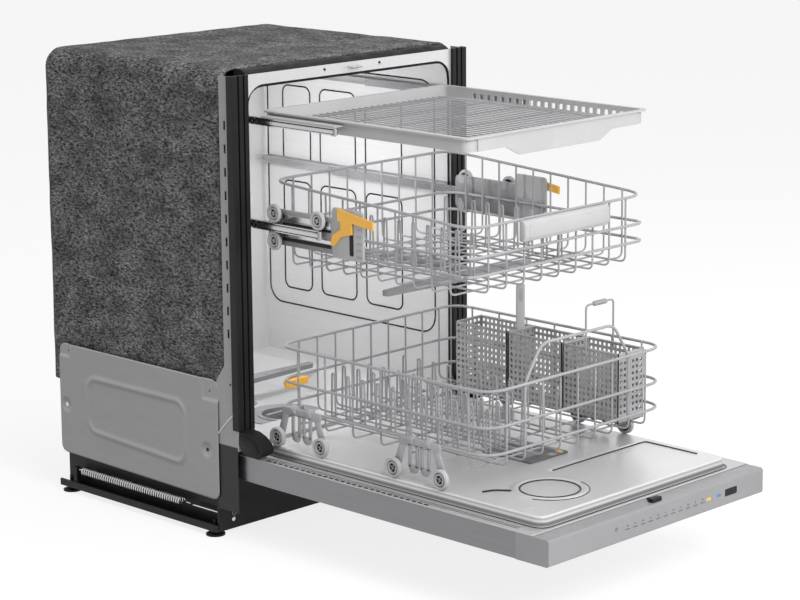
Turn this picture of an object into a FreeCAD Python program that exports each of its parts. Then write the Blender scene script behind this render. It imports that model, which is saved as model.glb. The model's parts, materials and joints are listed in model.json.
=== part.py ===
import FreeCAD, Part
import math
import os
import re
import Sketcher

# A built-in dishwasher with its door open and its three racks drawn out.
# Sizes are millimetres. X is to the right, +Y goes into the machine, Z is up.
# Every outline is drawn with the front plane of the edge trims at Y = 0.

Vector = FreeCAD.Vector

SIZES = (
    # overall
    ("trim_span", 604, "width over the two edge trims"),
    ("trim_top", 859, "top of the edge trims above the floor"),
    ("door_reach", 730, "tip of the open door ahead of the front plane"),
    ("body_depth", 565, "rear of the insulation behind the front plane"),
    ("run_level", 185, "track on which the lower wheels run, on liner and tub"),
    ("play", 0.3, "running gap between pieces that move past each other"),
    ("sheet_steel", 1.2, "sheet thickness of posts, covers and brackets"),
    # base and feet
    ("base_step", 4, "base inside the outer faces of the trims"),
    ("base_half", "=trim_span/2 - base_step", "half width of the base"),
    ("base_front", 70, "toe recess: front of the base behind the front plane"),
    ("base_rear", 532, "rear of the base"),
    ("base_bottom", 10, "underside of the base above the floor"),
    ("base_plate", 4, "thickness of the base floor"),
    ("base_wall", 5, "thickness of the base walls"),
    ("spring_channel", 24, "width of the channel for the door spring beside the base walls"),
    ("base_wall_half", "=base_half - spring_channel", "half width over the base walls"),
    ("base_wall_top", 140, "top of the front and rear base walls"),
    ("curb_rise", 9, "rise of the curb beside the spring channel"),
    ("curb_wall", 4, "thickness of that curb"),
    ("kick_step", 6, "kick wall inside the base's sides"),
    ("kick_half", "=base_half - kick_step", "half width of the kick wall"),
    ("kick_slot_wide", 14, "width of the foot access slot in the kick wall"),
    ("kick_slot_low", 40, "lower end of that slot"),
    ("kick_slot_high", 92, "upper end of that slot"),
    ("kick_slot_inset", 38, "distance of that slot from the end of the kick wall"),
    ("kick_slot_place", "=kick_half - kick_slot_inset", "distance of that slot from the middle"),
    ("foot_radius", 18, "radius of a levelling foot"),
    ("foot_pad", 6, "thickness of the foot's pad"),
    ("foot_stem", 5, "radius of the foot's threaded stem"),
    ("foot_top", 30, "top of the stem"),
    ("foot_side", 14, "distance of the feet from the base's sides"),
    ("foot_place", "=base_half - foot_side", "distance of the feet from the middle"),
    ("foot_inset", 20, "distance of the feet from the base's front and rear"),
    # tub
    ("tub_wall", 1.5, "sheet thickness of the tub"),
    ("wall_space", 28.5, "inner wall of the tub inside the outer faces of the trims"),
    ("tub_half", "=trim_span/2 - wall_space", "half width inside the tub"),
    ("ceiling_drop", 13, "ceiling of the tub below the top of the trims"),
    ("tub_ceiling", "=trim_top - ceiling_drop", "ceiling of the tub"),
    ("tub_rear", 547.5, "rear wall of the tub, inside"),
    ("ledge_wide", 59.5, "width of the ledges that the wheels run on"),
    ("ledge_half", "=tub_half - ledge_wide", "half distance between the two wheel ledges"),
    ("well_slope", 64, "width of the slopes beside the well floor"),
    ("well_half", "=ledge_half - well_slope", "half width of the flat well floor"),
    ("well_front", 90, "front of the well behind the front plane"),
    ("well_floor", 150, "well floor of the tub"),
    ("flange_step", 4, "front frame inside the outer faces of the trims"),
    ("flange_half", "=trim_span/2 - flange_step", "half width of the front frame"),
    ("flange_bottom", 176, "lower edge of the front frame"),
    ("flange_drop", 1, "front frame below the top of the trims"),
    ("flange_top", "=trim_top - flange_drop", "upper edge of the front frame"),
    ("mouth_step", 11.5, "mouth inside the tub's walls"),
    ("mouth_half", "=tub_half - mouth_step", "half width of the tub's mouth"),
    ("mouth_drop", 8, "mouth below the tub's ceiling"),
    ("mouth_top", "=tub_ceiling - mouth_drop", "top of the mouth"),
    ("mouth_round", 40, "corner radius of the mouth"),
    ("emboss", 2.5, "depth of the pressed panels in the tub walls"),
    ("panel_round", 22, "corner radius of the pressed panels"),
    ("panel_gap", 16, "distance between the pressed panels"),
    ("panel_front", 46, "front of the pressed panels"),
    ("panel_middle", 285, "split between front and rear panels"),
    ("panel_rear", 524, "rear of the pressed panels"),
    ("panel_low", 236, "lower edge of the pressed panels"),
    ("panel_split_low", 440, "split between lower and middle panels"),
    ("panel_split_high", 640, "split between middle and upper panels"),
    ("panel_drop", 94, "pressed panels below the tub's ceiling"),
    ("panel_high", "=tub_ceiling - panel_drop", "upper edge of the pressed panels"),
    ("mouth_sill", 2, "sill of the mouth below the wheels' track"),
    ("counter_hole", 3.5, "radius of the counter screw holes"),
    ("counter_pitch", 141, "distance between the counter screw holes"),
    ("counter_drop", 10, "counter screws below the top of the trims"),
    ("counter_level", "=trim_top - counter_drop", "height of the counter screw holes"),
    # trims and posts
    ("trim_bottom", 215, "lower end of the edge trims"),
    ("trim_face", 39, "face width of an edge trim"),
    ("trim_proud", 6, "how far the trim stands ahead of the front frame"),
    ("trim_wrap", 16, "how far the trim's lip wraps round the post"),
    ("groove", 4, "width and depth of the trim's grooves"),
    ("post_leg", 32, "depth of the post's side leg"),
    ("post_foot", 62, "depth of the post's side leg behind the cover"),
    ("post_bottom", 60, "lower end of the posts"),
    ("post_return", 18, "width of the post's front leg"),
    ("post_slot", 5, "width of the slots in the post"),
    ("post_slot_tall", 16, "height of the slots in the post"),
    ("post_slot_pitch", 42, "pitch of the slots in the post"),
    # insulation and covers
    ("blanket_step", 5, "insulation inside the outer faces of the trims"),
    ("blanket_half", "=trim_span/2 - blanket_step", "half width over the insulation"),
    ("blanket_rise", 13, "insulation above the top of the trims"),
    ("blanket_top", "=trim_top + blanket_rise", "top of the insulation"),
    ("blanket_bottom", 224, "lower edge of the insulation"),
    ("blanket_front", 42, "front edge of the insulation"),
    ("blanket_round", 30, "edge radius of the insulation"),
    ("cover_front", 57, "front edge of the side cover"),
    ("cover_rear", 519, "rear edge of the side cover"),
    ("cover_bottom", 74, "lower edge of the side cover"),
    ("cover_top", 300, "upper edge of the side cover"),
    ("cover_notch", 14, "corner cut of the side cover"),
    ("bead_wide", 7, "width of the pressed bead on the cover"),
    ("bead_inset", 34, "distance of the bead from the cover's edges"),
    ("bead_round", 24, "corner radius of the bead"),
    ("bead_rise", 2, "rise of that bead"),
    ("seal_drop", 5, "top strip below the insulation's top"),
    ("seal_lip", 12, "slope of the top strip's front"),
    ("gasket", 4, "thickness of the door gasket"),
    ("gasket_lift", 4, "lower ends of the gasket above the wheels' track"),
    ("corner_low", 172, "lower end of the corner seals"),
    ("corner_reach", 56, "reach of the corner seals ahead of the front plane"),
    ("corner_lift", 6, "slope of the corner seals' lower edge"),
    ("corner_wide", 36, "width of the corner seals"),
    ("strike_half", 11, "half width of the latch strike"),
    ("strike_reach", 12, "reach of the latch strike"),
    ("strike_radius", 2.5, "radius of the latch strike's wire"),
    ("screw_radius", 4, "head radius of the cover screws"),
    # door
    ("door_step", 14, "door inside the outer faces of the trims"),
    ("door_half", "=trim_span/2 - door_step", "half width of the door"),
    ("door_bottom", 120, "outer face of the open door above the floor"),
    ("door_side", 46, "height of the door's side walls"),
    ("door_tail", 64, "hinge end of the open door behind the front plane"),
    ("door_sheet", 1.2, "sheet thickness of the door's outer panel and liner"),
    ("control_depth", 72, "depth of the control panel at the door's tip"),
    ("control_wall", 3, "wall of the control panel"),
    ("control_round", 5, "edge radius of the control panel"),
    ("liner_space", 10, "raised field inside the mouth"),
    ("liner_half", "=mouth_half - liner_space", "half width of the liner's raised field"),
    ("liner_front", 684, "front of the raised field ahead of the front plane"),
    ("liner_rear", 6, "rear of the raised field ahead of the front plane"),
    ("liner_round", 11, "edge radius of the raised field"),
    ("hinge_ahead", 23, "hinge pin ahead of the front plane"),
    ("hinge_level", 143, "hinge pin above the floor"),
    ("pin_radius", 6, "radius of the hinge pin"),
    ("pin_play", 0.05, "radial play of the hinge pin"),
    ("arm_plate", 4, "thickness of the hinge arm"),
    ("arm_face", "=door_half - door_sheet", "outer face of the hinge arm from the middle"),
    ("arm_reach", 250, "length of the hinge arm along the door"),
    ("arm_gap", 0.5, "side gap between hinge arm and bracket"),
    ("bracket_drop", 14, "slope of the hinge bracket's lower edge"),
    ("bracket_plate", 3, "thickness of the hinge bracket"),
    ("swirl_radius", 60, "radius of the round pressing in the liner"),
    ("swirl_ahead", 580, "centre of the round pressing ahead of the front plane"),
    ("swirl_side", 114, "centre of the round pressing left of the middle"),
    ("press_rise", 2.5, "rise of the pressed beads on the liner"),
    ("press_wide", 7, "width of the pressed beads on the liner"),
    ("press_left", -20, "left side of the long pressed frame"),
    ("press_right", 232, "right side of the long pressed frame"),
    ("press_front", 655, "front of the long pressed frame ahead of the front plane"),
    ("press_rear", 505, "rear of the long pressed frame ahead of the front plane"),
    ("board_half", 130, "half length of the control board"),
    ("board_thick", 8, "thickness of the control board"),
    ("latch_half", 12, "half width of the door latch"),
    ("latch_inset", 8, "door latch behind the door's tip"),
    ("latch_deep", 10, "depth of the door latch's head"),
    ("latch_tall", 7, "height of the door latch"),
    # dispenser
    ("lid_lap", 3, "lap of the dispenser's lid over its cup"),
    ("cap_gap", 6, "distance of the rinse aid cap from the dispenser's side"),
    ("dose_left", -25, "left edge of the dispenser"),
    ("dose_right", 78, "right edge of the dispenser"),
    ("dose_front", 456, "front edge of the dispenser ahead of the front plane"),
    ("dose_rear", 339, "rear edge of the dispenser ahead of the front plane"),
    ("dose_rim", 8, "rim of the dispenser over the liner"),
    ("dose_plate", 3, "thickness of the dispenser's face plate"),
    ("dose_depth", 40, "depth of the dispenser below the face plate"),
    ("dose_cup_wide", 36, "width of the detergent cup"),
    ("dose_cup_long", 50, "length of the detergent cup"),
    ("cup_depth", 32, "depth of the detergent cup"),
    ("cap_radius", 13, "radius of the rinse aid cap"),
    ("cap_bevel", 2.6, "bevel of that cap"),
    ("cap_rib_half", 9, "half length of the cap's finger rib"),
    ("cap_rib_wide", 4, "width of that rib"),
    # lower rack
    ("low_space", 16, "lower rack inside the liner's raised field"),
    ("low_half", "=liner_half - low_space", "half width over the lower rack's side rails"),
    ("low_front", 551, "front of the lower rack ahead of the front plane"),
    ("low_rear", 28, "rear of the lower rack ahead of the front plane"),
    ("low_top", 368, "top rail of the lower rack"),
    ("low_middle", 305, "middle rail of the lower rack"),
    ("low_bottom", 258, "bottom rail of the lower rack"),
    ("low_floor", 229, "floor wires of the lower rack"),
    ("low_handle", 430, "raised handle wire of the lower rack"),
    ("low_handle_half", 95, "half length of the raised handle wire"),
    ("rail_radius", 2.6, "radius of the rack rails"),
    ("wire_radius", 1.8, "radius of the rack wires"),
    ("rack_round", 42, "corner radius of the rack rails"),
    ("wheel_radius", 18, "radius of the lower wheels"),
    ("wheel_wide", 9, "width of the lower wheels"),
    ("wheel_gap", 1, "gap between wheel and carrier"),
    ("wheel_gauge", "=low_half + carrier_plate + wheel_gap + wheel_wide/2", "lower wheels from the middle"),
    ("wheel_tyre", 5, "thickness of the tyres of wheels and rollers"),
    ("wheel_hub", 4, "wall of the hubs of wheels and rollers"),
    ("axle_radius", 3.5, "radius of the wheel axles"),
    ("wheel_pitch", 112, "distance between the two wheels of a carrier"),
    ("carrier_rear", 98, "middle of the rear carrier ahead of the front plane"),
    ("carrier_front", 392, "middle of the front carrier ahead of the front plane"),
    ("carrier_plate", 4, "thickness of a wheel carrier"),
    ("skirt_place", 14, "middle of a carrier's two scalloped skirts from the carrier's middle"),
    ("skirt_radius", 12, "radius of those skirts' lower ends"),
    ("skirt_slot", 5, "radius of the slots in those skirts"),
    ("skirt_rise", 30, "height of those slots"),
    ("tine_tall", 84, "height of the tines"),
    ("tine_pitch", 38, "distance between the tines of a row"),
    ("tine_gauge", 236, "half width of the lower rack for which the rows' places are given"),
    ("tine_first", "=-160*low_half/tine_gauge", "first fixed row of tines from the middle"),
    ("tine_second", "=-69*low_half/tine_gauge", "second fixed row of tines from the middle"),
    ("tine_third", "=23*low_half/tine_gauge", "third fixed row of tines from the middle"),
    ("tine_fold", "=-115*low_half/tine_gauge", "folding row of tines from the middle"),
    ("clip_left", -226, "left end of the amber clip at the lower rack's rear"),
    ("clip_right", -166, "right end of that clip"),
    ("clip_deep", 4, "thickness of that clip"),
    ("clip_drop", 14, "height of that clip below the middle rail"),
    # cutlery basket
    ("cutlery_slot", 8, "width of the slots in the cutlery basket"),
    ("post_rise", 86, "rise of the carrying post over the cutlery basket"),
    ("post_wide", 24, "width of that post"),
    ("post_round", 6, "corner radius of that post"),
    ("bail_foot", 8, "depth of the bail's feet below the rim"),
    ("cutlery_wide", 72, "width of the cutlery basket"),
    ("cutlery_left", "=cutlery_right - cutlery_wide", "left side of the cutlery basket"),
    ("cutlery_inset", 22, "cutlery basket inside the lower rack's right side"),
    ("cutlery_right", "=low_half - cutlery_inset", "right side of the cutlery basket"),
    ("cutlery_rear", 118, "rear of the cutlery basket ahead of the front plane"),
    ("cutlery_module", 130, "length of one cutlery module"),
    ("cutlery_gap", 4, "gap between the cutlery modules"),
    ("cutlery_top", 364, "rim of the cutlery basket"),
    ("cutlery_wall", 2.4, "wall of the cutlery basket"),
    ("bail_rise", 78, "rise of the bail over the cutlery basket's rim"),
    # upper rack
    ("up_space", 13, "upper rack inside its rails"),
    ("up_half", "=slide_inner - up_space", "half width over the upper rack's side rails"),
    ("up_front", 506, "front of the upper rack ahead of the front plane"),
    ("up_rear", 16, "rear of the upper rack ahead of the front plane"),
    ("up_top_rear", 668, "top rail of the upper rack at the rear"),
    ("up_top_front", 640, "top rail of the upper rack at the front"),
    ("up_middle", 589, "middle rail of the upper rack"),
    ("up_lower", 557, "lower rail of the upper rack"),
    ("up_floor", 520, "floor wires of the upper rack"),
    ("grip_half", 111, "half length of the upper rack's grip"),
    ("grip_tall", 38, "height of the upper rack's grip"),
    ("grip_thick", 15, "thickness of the upper rack's grip"),
    ("slide_bottom", 582, "underside of the upper rail"),
    ("slide_tall", 15, "height of the upper rail"),
    ("slide_space", 9, "upper rail inside the mouth"),
    ("slide_outer", "=mouth_half - slide_space", "outer face of the upper rail from the middle"),
    ("slide_wide", 8, "width of the upper rail"),
    ("slide_inner", "=slide_outer - slide_wide", "inner face of the upper rail from the middle"),
    ("slide_front", 165, "front end of the upper rail ahead of the front plane"),
    ("slide_long", 495, "length of the upper rail"),
    ("tongue", 3, "width of the tongue that guides a rail"),
    ("tongue_tall", 6, "height of that tongue"),
    ("slide_gap", 0.3, "gap between a rail and its guide"),
    ("guide_front", 18, "front end of the rail guides"),
    ("roller_radius", 17, "radius of the upper rollers"),
    ("roller_wide", 7, "width of the upper rollers"),
    ("roller_rear", 46, "rear roller ahead of the front plane"),
    ("roller_pitch", 112, "distance between the upper rollers"),
    ("adjuster_front", 262, "front of the height adjuster ahead of the front plane"),
    ("adjuster_rear", 184, "rear of the height adjuster ahead of the front plane"),
    ("adjuster_low", 552, "lower end of the height adjuster"),
    ("adjuster_high", 641, "upper end of the height adjuster"),
    ("adjuster_space", 9, "height adjuster's inner face inside the rails"),
    ("adjuster_face", "=slide_inner - adjuster_space", "inner face of the height adjuster from the middle"),
    ("adjuster_plate", 4, "thickness of the height adjuster"),
    ("hanger_inset", 6, "inset of the rack hangers in the height adjusters"),
    ("lever_reach", 27, "reach of the adjuster lever ahead of the adjuster"),
    ("lever_wide", 18, "width of the adjuster lever"),
    ("lever_low", 574, "pivot of the adjuster lever"),
    ("lever_high", 641, "top of the adjuster lever"),
    ("lever_plate", 3.3, "thickness of the adjuster lever"),
    ("lever_gap", 0.7, "gap between lever and adjuster"),
    ("lever_drop", 28, "fall of the lever's grip end below its top"),
    ("lever_tip", 14, "height of the lever's grip end"),
    ("lever_neck", 13, "height of the step between the lever's stem and its foot"),
    ("lever_bar", 22, "thickness of the lever's upper bar at its rear end"),
    ("lever_stem", 35, "front of the lever's stem ahead of its rear end"),
    ("lever_back", 8, "rear of that stem ahead of the lever's rear end"),
    ("cup_row", 114.75, "rows of tines in the upper rack from the middle"),
    ("tube_radius", 7, "radius of the upper rack's feed tube"),
    ("tube_rear", 2, "rear end of that tube behind the front plane"),
    ("clip_tall", 4, "height of the clip that holds that tube"),
    # third rack
    ("tray_round", 14, "corner radius of the third rack"),
    ("tray_slot", 9, "width of the slots in the third rack's right side"),
    ("tray_lip", 6, "rim of the third rack outside its walls"),
    ("grid_radius", 1.5, "radius of the third rack's floor wires"),
    ("tray_space", 23, "third rack inside the outer faces of its rails"),
    ("tray_half", "=slide_outer - tray_space", "half width of the third rack"),
    ("tray_front", 499, "front of the third rack ahead of the front plane"),
    ("tray_rear", 6, "rear of the third rack ahead of the front plane"),
    ("tray_drop", 45, "third rack below the top of the mouth"),
    ("tray_top", "=mouth_top - tray_drop", "rim of the third rack"),
    ("tray_deep", 25, "height of the third rack's sides"),
    ("tray_apron", 42, "height of the third rack's front in the middle"),
    ("apron_inset", 23, "ends of that front inside the third rack's sides"),
    ("apron_half", "=tray_half - apron_inset", "half length of that front"),
    ("apron_step", 138, "where that front starts to deepen, from the middle"),
    ("apron_deep", 104, "half length of its deepest stretch"),
    ("tray_wall", 3, "wall of the third rack"),
    ("third_rail_drop", 23, "third rack's rail below its rim"),
    ("third_rail_bottom", "=tray_top - third_rail_drop", "underside of the third rack's rail"),
    ("third_rail_tall", 13, "height of the third rack's rail"),
    ("third_rail_front", 207, "front end of that rail ahead of the front plane"),
    ("third_rail_long", 430, "length of that rail"),
    # spray system
    ("arm_thick", 9, "thickness of the spray arms"),
    ("lower_arm_reach", 195, "reach of the lower spray arm"),
    ("lower_arm_level", 190, "underside of the lower spray arm"),
    ("arm_place", 335, "spray arm hub behind the front plane"),
    ("middle_arm_reach", 190, "reach of the middle spray arm"),
    ("middle_arm_level", 486, "underside of the middle spray arm"),
    ("middle_arm_ahead", 262, "middle spray arm hub ahead of the front plane"),
    ("top_arm_reach", 120, "reach of the top spray arm"),
    ("top_arm_drop", 24, "underside of the top spray arm below the tub's ceiling"),
    ("top_arm_level", "=tub_ceiling - top_arm_drop", "underside of the top spray arm"),
    ("jet_radius", 2, "radius of the jets"),
    ("jet_edge", 30, "distance of the last jet from an arm's end"),
    ("jet_pitch", 48, "distance between the jets of an arm"),
    ("tip_round", 7.6, "corner radius of the spray arms' ends"),
    ("hub_radius", 17, "radius of the spray arm hubs"),
    ("hub_post", 9, "radius of the posts that carry the spray arms"),
    ("duct_half", 22, "half width of the rear feed duct"),
    ("duct_deep", 6, "depth of the rear feed duct"),
    ("sump_place", 205, "middle of the sump behind the front plane"),
    ("sump_radius", 76, "outer radius of the sump"),
    ("sump_floor", 62, "underside of the sump"),
    ("sump_wall", 4, "wall of the sump"),
    ("filter_radius", 48, "radius of the filter cylinder"),
    ("pump_radius", 46, "radius of the circulation pump"),
    ("pump_long", 150, "length of the circulation pump"),
    ("motor_radius", 28, "radius of that pump's motor"),
    ("drain_radius", 30, "radius of the drain pump"),
    ("spigot_radius", 9, "radius of the drain spigot"),
    ("filter_disc", 80, "radius of the flat filter"),
    ("filter_sheet", 2, "thickness of the filters"),
    ("filter_low", 72, "lower end of the filter cylinder"),
    ("pump_place", 345, "axis of the circulation pump behind the front plane"),
    ("pump_level", 70, "axis of the circulation pump above the floor"),
    ("pump_pipe", 15, "radius of the pipe between sump and pump"),
    ("drain_level", 66, "axis of the drain pump above the floor"),
    ("drain_left", 84, "left end of the drain pump"),
    ("drain_long", 70, "length of the drain pump"),
    ("spigot_side", 120, "drain spigot left of the middle"),
    ("spigot_level", 100, "drain spigot above the floor"),
    ("spigot_long", 28, "length of the drain spigot"),
    ("spigot_wall", 2, "wall of the drain spigot"),
    ("valve_space", 93, "middle of the inlet valve inside the left side of the base"),
    ("valve_side", "=base_half - valve_space", "inlet valve left of the middle"),
    ("valve_front", 96, "front of the inlet valve"),
    ("valve_wide", 44, "width of the inlet valve"),
    ("valve_tall", 40, "height of the inlet valve"),
    # door spring
    ("spring_coil", 7.2, "mean radius of the spring's coils"),
    ("spring_wire", 1.3, "radius of the spring's wire"),
    ("spring_level", 48, "axis of the spring above the floor"),
    ("spring_front", 176, "front end of the coils behind the front plane"),
    ("spring_long", 292, "length of the coiled stretch"),
    ("spring_turns", 24, "number of coils"),
    ("spring_side", 8, "axis of the spring inside the base's sides"),
    ("spring_place", "=base_half - spring_side", "axis of the spring from the middle"),
    ("link_radius", 2, "radius of the link from the spring to the hinge"),
    ("anchor_half", 5, "half width of the spring anchor"),
    ("anchor_front", 484, "front face of the spring anchor"),
    ("anchor_deep", 10, "depth of the spring anchor"),
    ("spring_bend", 4.5, "radius of the bend into the spring's straight ends"),
    ("link_rear", 152, "rear end of the door link behind the front plane"),
)

doc = FreeCAD.newDocument("dishwasher")
sheet = doc.addObject("Spreadsheet::Sheet", "sizes")
for row, (alias, number, meaning) in enumerate(SIZES, 1):
    sheet.set(f"A{row}", meaning)
    sheet.setAlias(f"B{row}", alias)
for row, (alias, number, meaning) in enumerate(SIZES, 1):
    sheet.set(f"B{row}", str(number))
doc.recompute()

ALIASES = {alias for alias, number, meaning in SIZES}
FRONT_SHIFT = "door_reach/2 - body_depth/2"
nodes = []


def size(alias):
    return float(sheet.get(alias))


def bound(text):
    """The text of a formula with every size's name pointed at the sheet."""
    def point(match):
        word = match.group(0)
        return "sizes." + word if word in ALIASES else word
    return re.sub(r"[a-z_]+", point, text)


front_shift = size("door_reach") / 2 - size("body_depth") / 2


def rect(x0, y0, x1, y1):
    return [(x0, y0), (x1, y0), (x1, y1), (x0, y1)]


def circle(x, y, radius):
    return ("circle", x, y, radius)


def inset(loop, wall):
    """A rectangle drawn in by a wall all round."""
    (x0, y0), (x1, y1) = loop[0], loop[2]
    return rect(f"{x0} + {wall}", f"{y0} + {wall}", f"{x1} - ({wall})", f"{y1} - ({wall})")


class Piece:
    """A body made from padded, cut and turned outlines whose points are formulas of the sizes."""

    def __init__(self, label, keep=True):
        self.body = doc.addObject("PartDesign::Body", label)
        self.body.Label = label
        self.body.setExpression(".Placement.Base.y", bound(FRONT_SHIFT))
        if keep:
            nodes.append(self.body)

    def origin(self, role):
        return next(item for item in self.body.Origin.OriginFeatures if item.Role == role)

    def sketch(self, plane, level, loops):
        drawn = self.body.newObject("Sketcher::SketchObject", "outline")
        drawn.AttachmentSupport = (self.origin(plane + "_Plane"), [""])
        drawn.MapMode = "FlatFace"
        drawn.setExpression(".AttachmentOffset.Base.z", bound(level))
        for loop in loops:
            if loop[0] == "circle":
                self.draw_circle(drawn, *loop[1:])
            else:
                self.draw_loop(drawn, loop)
        return drawn

    def tie(self, drawn, kind, first, formula):
        index = drawn.addConstraint(Sketcher.Constraint(kind, *first, 1.0))
        drawn.setExpression(f"Constraints[{index}]", bound(formula))

    def draw_circle(self, drawn, x, y, radius):
        ring = drawn.addGeometry(Part.Circle(Vector(1, 1, 0), Vector(0, 0, 1), 1))
        self.tie(drawn, "DistanceX", (-1, 1, ring, 3), x)
        self.tie(drawn, "DistanceY", (-1, 1, ring, 3), y)
        self.tie(drawn, "Radius", (ring,), radius)

    def draw_loop(self, drawn, loop):
        count = len(loop)
        step = 2 * math.pi / count
        spots = [Vector(math.cos(k * step), math.sin(k * step), 0) for k in range(count)]
        first = drawn.GeometryCount
        for k in range(count):
            drawn.addGeometry(Part.LineSegment(spots[k], spots[(k + 1) % count]))
        for k in range(count):
            drawn.addConstraint(Sketcher.Constraint("Coincident", first + k, 2, first + (k + 1) % count, 1))
        for k, (x, y) in enumerate(loop):
            self.tie(drawn, "DistanceX", (-1, 1, first + k, 1), x)
            self.tie(drawn, "DistanceY", (-1, 1, first + k, 1), y)

    def pad(self, plane, loops, start, depth):
        """Material from start over depth, along +X, +Y or +Z."""
        level = f"-({start} + {depth})" if plane == "XZ" else start
        feature = self.body.newObject("PartDesign::Pad", "pad")
        feature.Profile = self.sketch(plane, level, loops)
        self.body.Tip = feature
        feature.setExpression("Length", bound(depth))
        doc.recompute()
        return self

    def cut(self, plane, loops, start, depth):
        """A pocket from start over depth, along +X, +Y or +Z."""
        level = f"-({start})" if plane == "XZ" else f"{start} + {depth}"
        before = self.body.Shape.Volume
        feature = self.body.newObject("PartDesign::Pocket", "pocket")
        feature.Profile = self.sketch(plane, level, loops)
        self.body.Tip = feature
        feature.setExpression("Length", bound(depth))
        doc.recompute()
        assert self.body.Shape.Volume < before, self.body.Label + ": a pocket cuts nothing"
        return self

    def turn(self, loop):
        """A turned solid: the loop's points are distance from the axis and place along it."""
        feature = self.body.newObject("PartDesign::Revolution", "turned")
        drawn = self.sketch("XZ", "0", [loop])
        feature.Profile = drawn
        feature.ReferenceAxis = (drawn, ["V_Axis"])
        self.body.Tip = feature
        doc.recompute()
        return self

    def repeat(self, axis, pitch, count):
        """The last feature again and again along an axis."""
        last = self.body.Tip
        feature = self.body.newObject("PartDesign::LinearPattern", "row")
        feature.Originals = [last]
        feature.Direction = (self.origin(axis + "_Axis"), [""])
        feature.setExpression("Length", f"{bound(pitch)} * {count - 1}")
        feature.Occurrences = count
        self.body.Tip = feature
        doc.recompute()
        return self

    def round(self, radius, choose):
        """Rounds the edges that choose(middle, direction) accepts."""
        base = self.body.Tip
        names = []
        for index, edge in enumerate(base.Shape.Edges, 1):
            if edge.Curve.TypeId == "Part::GeomLine" and choose(
                edge.CenterOfMass, edge.tangentAt(edge.FirstParameter),
            ):
                names.append(f"Edge{index}")
        assert names, self.body.Label + ": no edge to round"
        feature = self.body.newObject("PartDesign::Fillet", "rounded")
        feature.Base = (base, names)
        self.body.Tip = feature
        feature.setExpression("Radius", bound(radius))
        doc.recompute()
        return self


def along(axis, where=None):
    """Chooses straight edges parallel to an axis whose middle passes the where test."""
    unit = dict(X=Vector(1, 0, 0), Y=Vector(0, 1, 0), Z=Vector(0, 0, 1))[axis]

    def choose(middle, direction):
        return abs(direction.dot(unit)) > 0.999 and (where is None or where(middle))
    return choose


def both_sides(label, piece, keep=True):
    """One node with the left piece and its mirror image."""
    image = doc.addObject("Part::Mirroring", label + "_right")
    image.Source = piece.body
    image.Normal = Vector(1, 0, 0)
    pair = doc.addObject("Part::Compound", label)
    pair.Links = [piece.body, image]
    pair.Label = label
    if keep:
        nodes.append(pair)
    return pair


def gathered(label, shapes):
    """A node of shapes computed from the sizes, moved to the common origin."""
    feature = doc.addObject("Part::Feature", label)
    feature.Label = label
    feature.Shape = Part.Compound(shapes) if len(shapes) > 1 else shapes[0]
    feature.Placement = FreeCAD.Placement(Vector(0, front_shift, 0), FreeCAD.Rotation())
    nodes.append(feature)
    return feature


def copies(label, piece, places):
    """A node of several copies of one piece, each moved to its place."""
    feature = doc.addObject("Part::Feature", label)
    feature.Label = label
    shapes = []
    for place in places:
        shape = piece.body.Tip.Shape.copy()
        move = FreeCAD.Placement(place + Vector(0, front_shift, 0), FreeCAD.Rotation())
        shape.Placement = move.multiply(shape.Placement)
        shapes.append(shape)
    feature.Shape = Part.Compound(shapes) if len(shapes) > 1 else shapes[0]
    nodes.append(feature)
    return feature


# Wires

def section_across(centre, normal, radius, sides=6):
    """Corners of a flat-sided section across a wire."""
    side = normal.cross(Vector(0, 0, 1))
    if side.Length < normal.Length / 2:
        side = Vector(1, 0, 0)
    side.normalize()
    up = normal.cross(side).normalize()
    points = []
    for k in range(sides + 1):
        angle = 2 * math.pi * k / sides
        points.append(centre + side * (radius * math.cos(angle)) + up * (radius * math.sin(angle)))
    return points


def outward(solid):
    """The solid with its faces turned outwards."""
    if solid.Volume < 0:
        solid.reverse()
    return solid


def prism(near, far):
    """A closed solid between two sections with as many corners."""
    faces = [Part.Face(Part.makePolygon(near)), Part.Face(Part.makePolygon(far))]
    for k in range(len(near) - 1):
        faces.append(Part.Face(Part.makePolygon([near[k], near[k + 1], far[k + 1], far[k], near[k]])))
    return outward(Part.Solid(Part.Shell(faces)))


def wire(points, radius):
    """A bent wire with six flats. Its straight runs meet in mitred faces."""
    points = [Vector(*point) for point in points]
    headings = [(end - start).normalize() for start, end in zip(points, points[1:])]
    ring = section_across(points[0], headings[0], radius)
    runs = []
    for heading, turned, end in zip(headings, headings[1:] + headings[-1:], points[1:]):
        mitre = (heading + turned).normalize()
        far = [corner + heading * ((end - corner).dot(mitre) / heading.dot(mitre)) for corner in ring]
        runs.append(prism(ring, far))
        ring = far
    return runs


def path(points, bend, closed=False):
    """Straight runs joined by tangent arcs, as edges in order."""
    points = [Vector(*point) for point in points]
    count = len(points)
    starts = []
    ends = []
    arcs = []
    for k in range(count):
        here = points[k]
        if not closed and k in (0, count - 1):
            starts.append(here)
            ends.append(here)
            arcs.append(None)
            continue
        back = (points[k - 1] - here).normalize()
        ahead = (points[(k + 1) % count] - here).normalize()
        half = back.getAngle(ahead) / 2
        reach = bend / math.tan(half)
        bisector = (back + ahead).normalize()
        middle = here + bisector * (bend / math.sin(half) - bend)
        starts.append(here + back * reach)
        ends.append(here + ahead * reach)
        arcs.append(Part.Arc(starts[k], middle, ends[k]).toShape())
    edges = []
    for k in range(count if closed else count - 1):
        if arcs[k]:
            edges.append(arcs[k])
        edges.append(Part.LineSegment(ends[k], starts[(k + 1) % count]).toShape())
    return edges


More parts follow.
